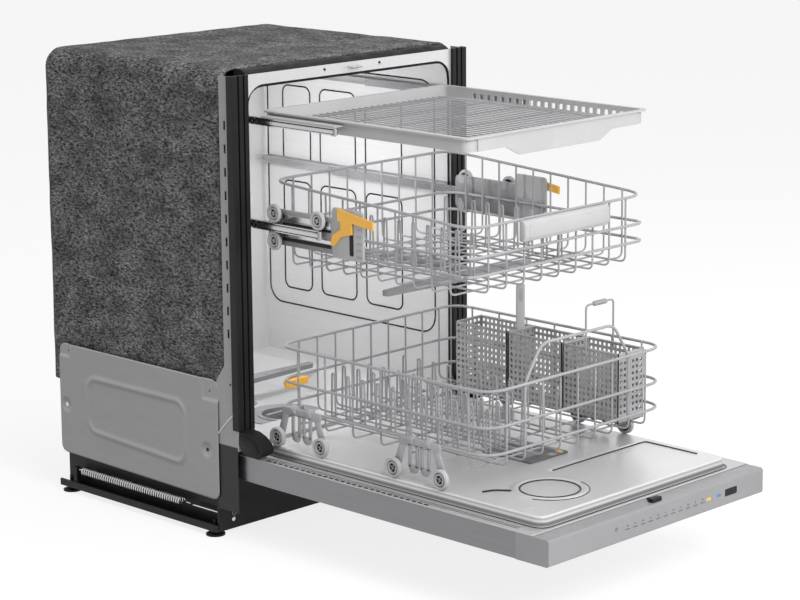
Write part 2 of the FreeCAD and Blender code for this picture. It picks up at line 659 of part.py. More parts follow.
def rod(points, radius, bend, closed=False):
    """A six-sided bar along runs and arcs. Its runs and the halves of its bends meet face to face."""
    edges = path(points, bend, closed)
    start = edges[0].valueAt(edges[0].FirstParameter)
    heading = edges[0].tangentAt(edges[0].FirstParameter)
    face = Part.Face(Part.makePolygon(section_across(start, heading, radius)))
    runs = []
    for edge in edges:
        first = edge.valueAt(edge.FirstParameter)
        last = edge.valueAt(edge.LastParameter)
        if edge.Curve.TypeId == "Part::GeomLine":
            runs.append(face.extrude(last - first))
            face.translate(last - first)
            continue
        centre = edge.Curve.Center
        axis = (first - centre).cross(last - centre)
        turn = math.degrees((first - centre).getAngle(last - centre)) / 2
        for half in range(2):
            runs.append(outward(face.revolve(centre, axis, turn)))
            face.rotate(centre, axis, turn)
    return runs


def parted(shape, rooms):
    """A thin shell as the flat walls that it consists of, which meet face to face."""
    walls = []
    for low, high in rooms:
        corner = Vector(*low)
        room = Vector(*high) - corner
        walls += shape.common(Part.makeBox(room.x, room.y, room.z, corner)).Solids
    return walls


def spread(low, high, count):
    return [low + (high - low) * k / (count - 1) for k in range(count)]


def bar(start, end, radius):
    """A plain round bar between two points."""
    start = Vector(*start)
    run = Vector(*end) - start
    return Part.makeCylinder(radius, run.Length, start, run)


# Cabinet

POST_SLOTS = 10
PLATE_TOP = "base_bottom + base_plate"
TUB_OUTER = "tub_half + tub_wall"
LEDGE_UNDER = "run_level - tub_wall"
FRAME_BACK = "trim_proud + tub_wall"
COVER_FACE = "trim_span/2 - bead_rise"
POST_FACE = "trim_span/2 - bead_rise - sheet_steel"


def base_pan():
    base = Piece("base_pan")
    inner_half = "base_wall_half - base_wall"
    base.pad(
        "XY", [rect("-base_half", "base_front", "base_half", "base_rear")], "base_bottom", "base_plate",
    )
    walls = [
        rect("-base_wall_half", "base_front", "base_wall_half", "base_rear"),
        rect(f"-({inner_half})", "base_front + base_wall", inner_half, "base_rear - base_wall"),
    ]
    base.pad("XY", walls, PLATE_TOP, f"base_wall_top - ({PLATE_TOP})")
    base.pad("XZ", [rect("-kick_half", PLATE_TOP, "kick_half", "base_wall_top")], "base_front", "base_wall")
    shoulder = [
        rect("-base_wall_half", "base_front + base_wall", f"-({inner_half})", "base_rear - base_wall"),
        rect(inner_half, "base_front + base_wall", "base_wall_half", "base_rear - base_wall"),
    ]
    base.pad("XY", shoulder, "base_wall_top", f"{LEDGE_UNDER} - base_wall_top")
    curbs = [
        rect("-base_half", "base_front", "-(base_half - curb_wall)", "base_rear"),
        rect("base_half - curb_wall", "base_front", "base_half", "base_rear"),
    ]
    base.pad("XY", curbs, PLATE_TOP, "curb_rise")
    anchors = []
    for side in ("-", ""):
        middle = f"{side}spring_place"
        anchors.append(
            rect(
                f"{middle} - anchor_half", "anchor_front", f"{middle} + anchor_half",
                "anchor_front + anchor_deep",
            )
        )
    base.pad("XY", anchors, PLATE_TOP, f"spring_level + anchor_half - ({PLATE_TOP})")
    slots = []
    holes = []
    for side in ("-", ""):
        middle = f"{side}kick_slot_place"
        slots.append(
            rect(
                f"{middle} - kick_slot_wide/2", "kick_slot_low", f"{middle} + kick_slot_wide/2",
                "kick_slot_high",
            )
        )
        for depth in ("base_front + foot_inset", "base_rear - foot_inset"):
            holes.append(circle(f"{side}foot_place", depth, "foot_stem"))
    base.cut("XZ", slots, "base_front", "base_wall")
    base.cut("XY", holes, "base_bottom", "base_plate")
    return base


def levelling_feet():
    foot = Piece("levelling_foot", keep=False)
    foot.turn([
        ("0", "0"), ("foot_radius", "0"), ("foot_radius", "foot_pad/2"), ("foot_stem*2", "foot_pad"),
        ("foot_stem*2", "base_bottom"), ("foot_stem", "base_bottom"), ("foot_stem", "foot_top"),
        ("0", "foot_top"),
    ])
    places = []
    for side in (-1, 1):
        for depth in (size("base_front") + size("foot_inset"), size("base_rear") - size("foot_inset")):
            places.append(Vector(side * size("foot_place"), depth, 0))
    copies("levelling_feet", foot, places)


def well_section(ledge, floor):
    """The sunken well between the two ledges that the wheels run on."""
    return [("-ledge_half", ledge), ("-well_half", floor), ("well_half", floor), ("ledge_half", ledge)]


def pressed_panels():
    """Rounded panels pressed outwards in each side wall, two columns of three."""
    panels = []
    for low, high in (
        ("panel_low", "panel_split_low"), ("panel_split_low", "panel_split_high"),
        ("panel_split_high", "panel_high"),
    ):
        for front, rear in (("panel_front", "panel_middle"), ("panel_middle", "panel_rear")):
            panels.append(inset(rect(front, low, rear, high), "panel_gap/2"))
    return panels


def tub_rooms():
    """The panels that the tub is welded from: front frame, walls, ceiling, ledges and well."""
    flange = size("flange_half")
    mouth = size("mouth_half")
    arch = mouth - size("mouth_round")
    arch_low = size("mouth_top") - size("mouth_round")
    sill = size("run_level") - size("mouth_sill")
    low = size("well_floor") - 2 * size("tub_wall")
    high = size("flange_top")
    front = size("trim_proud")
    back = front + size("tub_wall")
    wall = size("tub_half")
    ceiling = size("tub_ceiling")
    rear = size("tub_rear")
    behind = rear + size("tub_wall")
    ledge = size("ledge_half")
    flat = size("well_half")
    well = size("well_front")
    inside = well + size("tub_wall")
    top = size("run_level")
    hole = size("sump_radius") - size("sump_wall")
    hole_front = size("sump_place") - hole
    hole_rear = size("sump_place") + hole
    rooms = [
        ((-mouth, front, low), (mouth, back, sill)),
        ((-mouth, front, size("mouth_top")), (mouth, back, high)),
    ]
    rooms += [((-wall, back, ceiling), (wall, behind, high)), ((-wall, rear, low), (wall, behind, ceiling))]
    rooms += [((-wall, back, low), (wall, well, top)), ((-ledge, well, low), (ledge, inside, top))]
    rooms += [((-flat, inside, low), (flat, hole_front, top)), ((-flat, hole_rear, low), (flat, rear, top))]
    for side in (-1, 1):
        for near, far, first, last, floor, upper in (
            (mouth, flange, front, back, low, high),
            (arch, mouth, front, back, arch_low, size("mouth_top")),
            (wall, flange, back, behind, low, high), (ledge, wall, well, rear, low, top),
            (flat, ledge, inside, rear, low, top), (hole, flat, hole_front, hole_rear, low, top),
            (0, hole, hole_front, size("sump_place"), low, top),
            (0, hole, size("sump_place"), hole_rear, low, top),
        ):
            across = sorted((side * near, side * far))
            rooms.append(((across[0], first, floor), (across[1], last, upper)))
    return rooms


def tub():
    shell = Piece("tub_shell", keep=False)
    outer = rect(f"-({TUB_OUTER})", LEDGE_UNDER, TUB_OUTER, "tub_ceiling + tub_wall")
    shell.pad("XZ", [outer], "trim_proud", "tub_rear + tub_wall - trim_proud")
    under = well_section(LEDGE_UNDER, "well_floor - tub_wall")
    shell.pad("XZ", [under], "well_front", "tub_rear + tub_wall - well_front")
    outside = pressed_panels()
    shell.pad("YZ", outside, f"-({TUB_OUTER} + emboss)", "emboss")
    shell.pad("YZ", outside, TUB_OUTER, "emboss")
    room = rect("-tub_half", "run_level", "tub_half", "tub_ceiling")
    shell.cut("XZ", [room], "trim_proud", "tub_rear - trim_proud")
    well = well_section("run_level", "well_floor")
    shell.cut("XZ", [well], "well_front + tub_wall", "tub_rear - well_front - tub_wall")
    inside = [inset(loop, "tub_wall") for loop in outside]
    shell.cut("YZ", inside, "-(tub_half + emboss)", "emboss")
    shell.cut("YZ", inside, "tub_half", "emboss")
    shell.round(
        "panel_round",
        along("X", lambda middle: abs(abs(middle.x) - size("tub_half") - size("emboss") / 2) < 0.1),
    )
    shell.round(
        "panel_round + tub_wall",
        along("X", lambda middle: abs(middle.x) > size("tub_half") + size("emboss")),
    )
    frame = rect("-flange_half", "flange_bottom", "flange_half", "flange_top")
    shell.pad("XZ", [frame], "trim_proud", "tub_wall")
    shell.cut(
        "XZ", [rect("-mouth_half", "run_level - mouth_sill", "mouth_half", "mouth_top")], "trim_proud",
        "tub_wall",
    )
    shell.round(
        "mouth_round", along("Y", lambda middle: abs(middle.z - size("mouth_top")) < 1 and middle.y < 10),
    )
    shell.cut(
        "XY", [circle("0", "sump_place", "sump_radius - sump_wall")], "well_floor - tub_wall", "tub_wall",
    )
    screws = [
        circle("-counter_pitch/2", "counter_level", "counter_hole"),
        circle("counter_pitch/2", "counter_level", "counter_hole"),
    ]
    shell.cut("XZ", screws, "trim_proud", "tub_wall")
    gathered("tub", parted(shell.body.Tip.Shape, tub_rooms()))


def insulation_blanket():
    blanket = Piece("insulation_blanket")
    outer = rect("-blanket_half", "blanket_bottom", "blanket_half", "blanket_top")
    blanket.pad("XZ", [outer], "blanket_front", "body_depth - blanket_front")
    top = size("blanket_top")
    rear = size("body_depth")
    blanket.round("blanket_round", lambda middle, direction: (
        abs(middle.z - top) < 1 and middle.y > size("blanket_front") + 1) or (
        abs(middle.y - rear) < 1 and abs(direction.z) > 0.9))
    inner_half = f"{TUB_OUTER} + emboss"
    inner = rect(f"-({inner_half})", "blanket_bottom", inner_half, "tub_ceiling + tub_wall")
    blanket.cut("XZ", [inner], "blanket_front", "tub_rear + tub_wall - blanket_front")
    return blanket


def edge_trims():
    """Ribbed black strips clipped over both upright edges of the front frame."""
    trim = Piece("edge_trim", keep=False)
    outer = "-trim_span/2"
    inner = f"{outer} + trim_face"
    lip = f"-({POST_FACE})"
    first = f"{outer} + trim_face/3"
    second = f"{outer} + 2*trim_face/3"
    section = [
        (f"{outer} + groove/2", "0"), (first, "0"), (first, "groove"), (f"{first} + groove", "groove"),
        (f"{first} + groove", "0"),
        (second, "0"), (second, "groove"), (f"{second} + groove", "groove"), (f"{second} + groove", "0"),
        (inner, "0"), (inner, "trim_proud"), (lip, "trim_proud"), (lip, "trim_wrap"),
        (outer, "trim_wrap"), (outer, "groove/2"),
    ]
    trim.pad("XY", [section], "trim_bottom", "trim_top - trim_bottom")
    both_sides("edge_trims", trim)


def front_posts():
    """Folded steel posts behind the trims: they carry the side covers and stand on the base."""
    post = Piece("front_post", keep=False)
    face = f"-({POST_FACE})"
    side = [
        (FRAME_BACK, "post_bottom"), ("post_foot", "post_bottom"), ("post_foot", "cover_top"),
        (f"{FRAME_BACK} + post_leg", "cover_top + post_foot/2"), (f"{FRAME_BACK} + post_leg", "flange_top"),
        (FRAME_BACK, "flange_top"),
    ]
    post.pad("YZ", [side], face, "sheet_steel")
    post.pad(
        "XZ", [rect(face, "flange_bottom", f"{face} + post_return", "flange_top")], FRAME_BACK,
        "sheet_steel",
    )
    slot_front = f"{FRAME_BACK} + post_leg/2"
    slot = rect(
        slot_front, "cover_top + 2*post_slot_pitch", f"{slot_front} + post_slot",
        "cover_top + 2*post_slot_pitch + post_slot_tall",
    )
    post.cut("YZ", [slot], face, "sheet_steel")
    post.repeat("Z", "post_slot_pitch", POST_SLOTS)
    both_sides("front_posts", post)


def side_covers():
    """Steel side covers with a pressed bead, screwed to the post and the base."""
    cover = Piece("side_cover", keep=False)
    face = f"-({COVER_FACE})"
    plate = [
        ("cover_front", "cover_bottom"), ("cover_rear - cover_notch", "cover_bottom + cover_notch/2"),
        ("cover_rear", "cover_bottom + cover_notch"),
        ("cover_rear", "cover_top - cover_notch"), ("cover_rear - cover_notch", "cover_top"),
        ("cover_front + cover_notch", "cover_top"), ("cover_front", "cover_top - cover_notch"),
    ]
    cover.pad("YZ", [plate], face, "sheet_steel")
    bead = inset(rect("cover_front", "cover_bottom", "cover_rear", "cover_top"), "bead_inset")
    cover.pad("YZ", [bead, inset(bead, "bead_wide")], f"{face} - bead_rise", "bead_rise")
    edge = -(size("trim_span") / 2 - size("bead_rise"))
    cover.round("bead_round", along("X", lambda middle: middle.x < edge))
    both_sides("side_covers", cover)


def cover_screws():
    """Round screw heads that hold both side covers."""
    face = size("trim_span") / 2 - size("bead_rise")
    heads = []
    for side in (-1, 1):
        for depth in (size("cover_front") + size("cover_notch"), size("cover_rear") - size("cover_notch")):
            for level in (
                size("cover_bottom") + 2 * size("cover_notch"), size("cover_top") - 2 * size("cover_notch"),
            ):
                heads.append(
                    bar(
                        (side * face, depth, level), (side * (face + size("bead_rise")), depth, level),
                        size("screw_radius"),
                    )
                )
    gathered("cover_screws", heads)


def top_seal_strip():
    """A soft strip on top of the tub that closes the gap below the counter."""
    strip = Piece("top_seal_strip")
    floor = "tub_ceiling + tub_wall"
    section = [
        (FRAME_BACK, floor), ("blanket_front", floor), ("blanket_front", "blanket_top - seal_drop"),
        (f"{FRAME_BACK} + seal_lip", "blanket_top - seal_drop"), (FRAME_BACK, "flange_top"),
    ]
    strip.pad("YZ", [section], "-mouth_half", "2*mouth_half")
    return strip


def door_gasket():
    """A rubber seal inside the mouth, up one side, over the top and down the other."""
    seal = Piece("gasket_loop", keep=False)
    outer = "mouth_half"
    inner = "mouth_half - gasket"
    low = "run_level + gasket_lift"
    loop = [
        (f"-({outer})", low), (f"-({inner})", low), (f"-({inner})", "mouth_top - gasket"),
        (inner, "mouth_top - gasket"),
        (inner, low), (outer, low), (outer, "mouth_top"), (f"-({outer})", "mouth_top"),
    ]
    seal.pad("XZ", [loop], "trim_proud", "2*gasket")
    seal.round("mouth_round", along("Y", lambda middle: abs(middle.z - size("mouth_top")) < 1))
    seal.round(
        "mouth_round - gasket",
        along("Y", lambda middle: abs(middle.z - size("mouth_top") + size("gasket")) < 1),
    )
    half = size("mouth_half")
    arch = half - size("mouth_round")
    arch_low = size("mouth_top") - size("mouth_round")
    front = size("trim_proud")
    rear = front + 2 * size("gasket")
    legs = []
    for left, right, floor, top in (
        (-half, -arch, 0, arch_low), (arch, half, 0, arch_low), (-arch, arch, arch_low, size("mouth_top")),
        (-half, -arch, arch_low, size("mouth_top")), (arch, half, arch_low, size("mouth_top")),
    ):
        legs.append(((left, front, floor), (right, rear, top)))
    gathered("door_gasket", parted(seal.body.Tip.Shape, legs))


def corner_seals():
    """Sloping rubber corners between the trims and the open door."""
    corner = Piece("corner_seal", keep=False)
    outer = "-trim_span/2 + groove/2"
    section = [
        ("0", "trim_bottom"), ("trim_proud", "trim_bottom"), ("trim_proud", "corner_low"),
        ("0", "corner_low"),
        ("-corner_reach", "corner_low + corner_lift"), ("-corner_reach", "corner_low + 2*corner_lift"),
        ("-trim_wrap", "trim_bottom"),
    ]
    corner.pad("YZ", [section], outer, "corner_wide")
    both_sides("corner_seals", corner)


def hinge_brackets():
    """Steel brackets from the kick wall into the open door, each with its hinge pin."""
    bracket = Piece("hinge_bracket", keep=False)
    face = "-(arm_face - arm_plate - arm_gap)"
    section = [
        ("base_front", "base_wall_top - bracket_drop"),
        ("-(hinge_ahead + 2*pin_radius)", "hinge_level - 2*pin_radius"),
        ("-(hinge_ahead + 2*pin_radius)", "hinge_level + 2*pin_radius"),
        ("0", "hinge_level + 2*pin_radius"), ("base_front", "base_wall_top"),
    ]
    bracket.pad("YZ", [section], face, "bracket_plate")
    bracket.pad(
        "YZ", [circle("-hinge_ahead", "hinge_level", "pin_radius")], "-(arm_face - arm_gap)", "arm_plate",
    )
    both_sides("hinge_brackets", bracket)


def latch_strike():
    """The loop in the top of the frame that the door's latch catches."""
    half = size("strike_half")
    ahead = size("trim_proud")
    level = size("counter_level")
    reach = ahead - size("strike_reach")
    points = [(-half, ahead, level), (-half, reach, level), (half, reach, level), (half, ahead, level)]
    gathered("latch_strike", wire(points, size("strike_radius")))


def half_turns(start, count):
    """Points and headings after every half turn of a helix about a line along +Y."""
    radius = size("spring_coil")
    rise = size("spring_long") / count
    slope = math.atan2(rise / math.pi, radius)
    spots = []
    for k in range(count + 1):
        angle = math.pi * k
        spot = start + Vector(radius * math.cos(angle), rise * k, radius * math.sin(angle))
        heading = Vector(
            -math.sin(angle) * math.cos(slope), math.sin(slope), math.cos(angle) * math.cos(slope),
        )
        spots.append((spot, heading))
    return spots


def arc_at(first, corner, last):
    """The arc that leaves first towards corner and arrives at last from it."""
    back = (first - corner).normalize()
    ahead = (last - corner).normalize()
    half = back.getAngle(ahead) / 2
    radius = (first - corner).Length * math.tan(half)
    middle = corner + (back + ahead).normalize() * (radius / math.sin(half) - radius)
    return Part.Arc(first, middle, last).toShape()


def biarc(first, heading, last, arrival):
    """Two tangent arcs from one point and heading to the next."""
    gap = last - first
    both = heading + arrival
    spare = 2 * (1 - heading.dot(arrival))
    reach = (math.sqrt(gap.dot(both) ** 2 + spare * gap.dot(gap)) - gap.dot(both)) / spare
    near = first + heading * reach
    far = last - arrival * reach
    joint = (near + far) * 0.5
    return [arc_at(first, near, joint), arc_at(joint, far, last)]


def spring_axis():
    return Vector(-size("spring_place"), size("spring_front"), size("spring_level"))


def door_spring():
    """A long tension spring beside the base, from an anchor behind to the door's link ahead."""
    spots = half_turns(spring_axis(), int(2 * size("spring_turns")))
    bend = size("spring_bend")
    first, heading = spots[0]
    last, arrival = spots[-1]
    forward = Vector(0, 1, 0)
    lead = first - heading * bend - forward * bend
    lead_end = lead - forward * (lead.y - size("link_rear"))
    tail = last + arrival * bend + forward * bend
    tail_end = tail + forward * (size("anchor_front") - tail.y)
    edges = [Part.LineSegment(lead_end, lead).toShape(), arc_at(lead, first - heading * bend, first)]
    for (spot, go), (target, arrive) in zip(spots, spots[1:]):
        edges += biarc(spot, go, target, arrive)
    edges += [arc_at(last, last + arrival * bend, tail), Part.LineSegment(tail, tail_end).toShape()]
    spine = Part.Wire(edges)
    profile = Part.makePolygon(section_across(lead_end, forward, size("spring_wire"), sides=4))
    return spine, spine.makePipeShell([profile], True, False)


def least_gap(spine):
    """The least gap between stretches of the spring that lie half a turn or more apart along it."""
    turn = 2 * math.pi * size("spring_coil")
    spots = spine.discretize(Distance=size("spring_wire"))
    step = spine.Length / (len(spots) - 1)
    skip = int(turn / 2 / step)
    window = int(2 * turn / step)
    least = spine.Length
    for k, spot in enumerate(spots):
        for other in spots[k + skip:k + window]:
            least = min(least, (other - spot).Length)
    return least - 2 * size("spring_wire")


def left_and_right(shape):
    return [shape, shape.mirror(Vector(0, 0, 0), Vector(1, 0, 0))]


def door_springs():
    spine, spring = door_spring()
    print("door spring, least gap to itself:", round(least_gap(spine), 2), "mm")
    gathered("door_springs", left_and_right(spring))


def spring_links():
    """Rods from the springs to the kick wall, where the door's cords begin."""
    first, heading = half_turns(spring_axis(), int(2 * size("spring_turns")))[0]
    level = first.z - heading.z * size("spring_bend")
    front = size("base_front") + size("base_wall")
    rod_left = bar((first.x, size("link_rear"), level), (first.x, front, level), size("link_radius"))
    gathered("spring_links", left_and_right(rod_left))


def sump():
    """A round cup under the tub's well."""
    cup = Piece("sump_cup", keep=False)
    inner = "sump_radius - sump_wall"
    cup.turn([
        ("0", "sump_floor"), ("sump_radius", "sump_floor"), ("sump_radius", "well_floor - tub_wall"),
        (inner, "well_floor - tub_wall"), (inner, "sump_floor + sump_wall"),
        ("0", "sump_floor + sump_wall"),
    ])
    copies("sump", cup, [Vector(0, size("sump_place"), 0)])


def filters():
    """A flat filter on the well floor and a twist-lock cylinder filter in its middle."""
    disc = Piece("filter_disc", keep=False)
    top = "well_floor + filter_sheet"
    disc.turn(
        [
            ("filter_radius + play", "well_floor"), ("filter_disc", "well_floor"), ("filter_disc", top),
            ("filter_radius + play", top),
        ],
    )
    copies("flat_filter", disc, [Vector(0, size("sump_place"), 0)])
    tube = Piece("filter_tube", keep=False)
    rim = f"{top} + play"
    outer = "filter_radius"
    inner = "filter_radius - filter_sheet"
    collar = "filter_radius + 3*filter_sheet"
    tube.turn([
        (inner, "filter_low"), (outer, "filter_low"), (outer, rim), (collar, rim),
        (collar, f"{rim} + filter_sheet"),
        (inner, f"{rim} + filter_sheet"),
    ])
    handle = rect(
        f"-({inner} + filter_sheet/2)", "-2*filter_sheet", f"{inner} + filter_sheet/2", "2*filter_sheet",
    )
    tube.pad("XY", [handle], rim, "4*filter_sheet")
    copies("filter_cylinder", tube, [Vector(0, size("sump_place"), 0)])


def pumps():
    """The circulation pump behind the sump and the drain pump beside it, both on the base floor."""
    pump = Piece("circulation_pump")
    pump.pad("YZ", [circle("pump_place", "pump_level", "pump_radius")], "-pump_long/2", "pump_long")
    pump.pad("YZ", [circle("pump_place", "pump_level", "motor_radius")], "pump_long/2", "pump_long/4")
    foot = rect("-pump_long/4", "pump_place - pump_radius/2", "pump_long/4", "pump_place + pump_radius/2")
    pump.pad("XY", [foot], PLATE_TOP, f"pump_level - pump_radius/2 - ({PLATE_TOP})")
    pipe_start = "sump_place + sump_radius + play"
    pump.pad(
        "XZ", [circle("0", "sump_floor + 2*sump_wall + pump_pipe", "pump_pipe")], pipe_start,
        f"pump_place - ({pipe_start})",
    )
    drain = Piece("drain_pump")
    drain.pad("YZ", [circle("sump_place", "drain_level", "drain_radius")], "drain_left", "drain_long")
    stand = rect(
        "drain_left + drain_long/4", "sump_place - drain_radius/2", "drain_left + 3*drain_long/4",
        "sump_place + drain_radius/2",
    )
    drain.pad("XY", [stand], PLATE_TOP, f"drain_level - drain_radius/2 - ({PLATE_TOP})")
    neck_start = "sump_radius + play"
    drain.pad(
        "YZ", [circle("sump_place", "sump_floor + 2*sump_wall + drain_radius/2", "drain_radius/2")],
        neck_start, f"drain_left - ({neck_start})",
    )


def water_connections():
    """The drain spigot in the rear wall and the inlet valve behind the kick wall."""
    spigot = Piece("drain_spigot")
    rings = [
        circle("-spigot_side", "spigot_level", "spigot_radius"),
        circle("-spigot_side", "spigot_level", "spigot_radius - spigot_wall"),
    ]
    spigot.pad("XZ", rings, "base_rear", "spigot_long")
    spigot.pad(
        "XZ", [circle("-spigot_side", "spigot_level", "2*spigot_radius"), rings[1]], "base_rear",
        "spigot_wall",
    )
    valve = Piece("inlet_valve")
    left = "-(valve_side + valve_wide/2)"
    valve.pad(
        "XY", [rect(left, "valve_front", "-(valve_side - valve_wide/2)", "valve_front + valve_wide")],
        PLATE_TOP, "valve_tall",
    )
    middle = f"{PLATE_TOP} + valve_tall/2"
    valve.pad(
        "XZ", [circle("-valve_side", middle, "valve_tall/4")], "valve_front + valve_wide", "valve_wide/2",
    )
    valve.pad(
        "XY", [circle("-valve_side", "valve_front + valve_wide/2", "valve_wide/3")],
        f"{PLATE_TOP} + valve_tall", "valve_tall/2",
    )


def feed_duct():
    """The flat water duct up the rear wall and along the ceiling, with the post of the top spray arm."""
    duct = Piece("duct_run", keep=False)
    inner_rear = "tub_rear - duct_deep"
    inner_top = "tub_ceiling - duct_deep"
    section = [
        ("tub_rear", "well_floor"), ("tub_rear", "tub_ceiling"), ("arm_place - duct_half", "tub_ceiling"),
        ("arm_place - duct_half", inner_top), (inner_rear, inner_top), (inner_rear, "well_floor"),
    ]
    duct.pad("YZ", [section], "-duct_half", "2*duct_half")
    post_foot = "top_arm_level + arm_thick + play"
    duct.pad("XY", [circle("0", "arm_place", "hub_post")], post_foot, f"{inner_top} - ({post_foot})")
    half = size("duct_half")
    bend = size("tub_rear") - size("duct_deep")
    runs = [
        ((-half, bend, 0), (half, size("tub_rear"), size("tub_ceiling"))),
        ((-half, 0, 0), (half, bend, size("tub_ceiling"))),
    ]
    gathered("feed_duct", parted(duct.body.Tip.Shape, runs))


def spray_post():
    """The flared post on the well floor that carries the lower spray arm."""
    post = Piece("post_turned", keep=False)
    top = "lower_arm_level - play"
    post.turn(
        [
            ("0", "well_floor"), ("2*hub_radius", "well_floor"), ("hub_post", "well_floor + hub_radius"),
            ("hub_post", top), ("0", top),
        ],
    )
    copies("spray_post", post, [Vector(0, size("arm_place"), 0)])


def spray_arm(label, reach, level, place, jets):
    """A flat arm that is widest at its hub, with jets on both sides of it."""
    arm = Piece(label)
    tip = "hub_radius/2"
    blade = [
        (f"-{reach}", f"{place} - {tip}"), ("-hub_radius", f"{place} - hub_radius"),
        ("hub_radius", f"{place} - hub_radius"), (reach, f"{place} - {tip}"),
        (reach, f"{place} + {tip}"), ("hub_radius", f"{place} + hub_radius"),
        ("-hub_radius", f"{place} + hub_radius"), (f"-{reach}", f"{place} + {tip}"),
    ]
    arm.pad("XY", [blade], level, "arm_thick")
    arm.round("tip_round", along("Z", lambda middle: abs(middle.x) > size(reach) - 0.1))
    holes = []
    for side in ("-", ""):
        for number in range(jets):
            holes.append(circle(f"{side}({reach} - jet_edge - {number}*jet_pitch)", place, "jet_radius"))
    arm.cut("XY", holes, f"{level} + arm_thick/2", "arm_thick/2")
    return arm


def rail_section(bottom, tall):
    """A bar with a tongue on its outer side."""
    middle = f"{bottom} + {tall}/2"
    edge = "-slide_outer"
    return [
        (edge, bottom), ("-slide_inner", bottom), ("-slide_inner", f"{bottom} + {tall}"),
        (edge, f"{bottom} + {tall}"),
        (edge, f"{middle} + tongue_tall/2"), (f"{edge} - tongue", f"{middle} + tongue_tall/2"),
        (f"{edge} - tongue", f"{middle} - tongue_tall/2"), (edge, f"{middle} - tongue_tall/2"),
    ]


def guide_section(bottom, tall):
    """The channel on the tub wall that the rail's tongue runs in."""
    middle = f"{bottom} + {tall}/2"
    face = "-(slide_outer + slide_gap)"
    deep = "-(slide_outer + tongue + slide_gap)"
    gap = "tongue_tall/2 + slide_gap"
    return [
        ("-tub_half", bottom), (face, bottom), (face, f"{middle} - ({gap})"), (deep, f"{middle} - ({gap})"),
        (deep, f"{middle} + {gap}"), (face, f"{middle} + {gap}"), (face, f"{bottom} + {tall}"),
        ("-tub_half", f"{bottom} + {tall}"),
    ]


def rails_and_guides():
    """Telescopic rails for the upper two racks, each in a guide on the tub wall."""
    guides = []
    for name, bottom, tall, front, length in (
        ("upper", "slide_bottom", "slide_tall", "slide_front", "slide_long"),
        ("third", "third_rail_bottom", "third_rail_tall", "third_rail_front", "third_rail_long"),
    ):
        guide = Piece(name + "_guide", keep=False)
        guide.pad(
            "XZ", [guide_section(bottom, tall)], "guide_front", "tub_rear - 2*duct_deep - guide_front",
        )
        guides += both_sides(name + "_rail_guides", guide, keep=False).Links
        rail = Piece(name + "_rail", keep=False)
        rail.pad("XZ", [rail_section(bottom, tall)], f"-{front}", length)
        both_sides(name + "_rails", rail)
    together = doc.addObject("Part::Compound", "rail_guides")
    together.Label = "rail_guides"
    together.Links = guides
    nodes.append(together)


# Door

DOOR_RIM = "door_bottom + door_side"
TIP = "-door_reach"
CONTROL_REAR = "-(door_reach - control_depth)"


def door_outer_panel():
    panel = Piece("door_outer_panel")
    outer = rect("-door_half", "door_bottom", "door_half", DOOR_RIM)
    inner = rect(
        "-(door_half - door_sheet)", "door_bottom + door_sheet", "door_half - door_sheet", DOOR_RIM,
    )
    length = f"door_tail - ({CONTROL_REAR})"
    panel.pad("XZ", [outer], CONTROL_REAR, length)
    panel.cut("XZ", [inner], CONTROL_REAR, length)
    panel.round("door_sheet*2", along("Y", lambda middle: middle.z < size("door_bottom") + 0.1))


def door_liner():
    """The liner: a flat rim with a raised field that closes the mouth, and pressed beads."""
    liner = Piece("door_liner")
    rim = rect("-door_half", "-(liner_front + liner_round)", "door_half", "door_tail")
    field = rect("-liner_half", "-liner_front", "liner_half", "-liner_rear")
    rise = f"run_level - ({DOOR_RIM})"
    liner.pad("XY", [rim], DOOR_RIM, "door_sheet")
    liner.pad("XY", [field], DOOR_RIM, rise)
    liner.cut("XY", [inset(field, "door_sheet")], DOOR_RIM, f"{rise} - door_sheet")
    inside = size("liner_half") - size("door_sheet")
    liner.round("liner_round - door_sheet", along("Z", lambda middle: abs(abs(middle.x) - inside) < 0.1))
    liner.round("liner_round", along("Z", lambda middle: abs(abs(middle.x) - size("liner_half")) < 0.1))
    swirl = [
        circle("-swirl_side", "-swirl_ahead", "swirl_radius"),
        circle("-swirl_side", "-swirl_ahead", "swirl_radius - press_wide"),
    ]
    liner.pad("XY", swirl, "run_level", "press_rise")
    press = rect("press_left", "-press_front", "press_right", "-press_rear")
    liner.pad("XY", [press, inset(press, "press_wide")], "run_level", "press_rise")
    liner.cut(
        "XY",
        [rect(
            "dose_left + dose_rim", "-(dose_front - dose_rim)", "dose_right - dose_rim",
            "-(dose_rear + dose_rim)",
        )],
        "run_level - door_sheet", "door_sheet",
    )


def control_panel():
    """The hollow end cap at the door's tip, with the touch controls on its end."""
    panel = Piece("control_panel")
    panel.pad("XY", [rect("-door_half", TIP, "door_half", CONTROL_REAR)], "door_bottom", "door_side")
    tip = size("door_reach")
    panel.round("control_round", along("X", lambda middle: abs(middle.y + tip) < 0.1))
    inner = rect(
        "-(door_half - control_wall)", "door_bottom + control_wall", "door_half - control_wall",
        f"{DOOR_RIM} - control_wall",
    )
    panel.cut("XZ", [inner], f"{TIP} + control_wall", "control_depth - control_wall")
    board = Piece("control_board")
    board.pad(
        "XY",
        [rect("-board_half", f"{TIP} + 2*control_round", "board_half", f"{CONTROL_REAR} - control_round")],
        "door_bottom + control_wall", "board_thick",
    )
    latch = Piece("door_latch")
    bridge = [
        rect("-latch_half", f"{TIP} + latch_inset", "latch_half", f"{TIP} + latch_inset + latch_deep")
    ]
    latch.pad("XY", bridge, DOOR_RIM, "latch_tall")
    stem = [
        rect(
            "-latch_half/3", f"{TIP} + latch_inset + latch_deep", "latch_half/3",
            f"{TIP} + latch_inset + 2*latch_deep",
        )
    ]
    latch.pad("XY", stem, DOOR_RIM, "latch_tall/2")


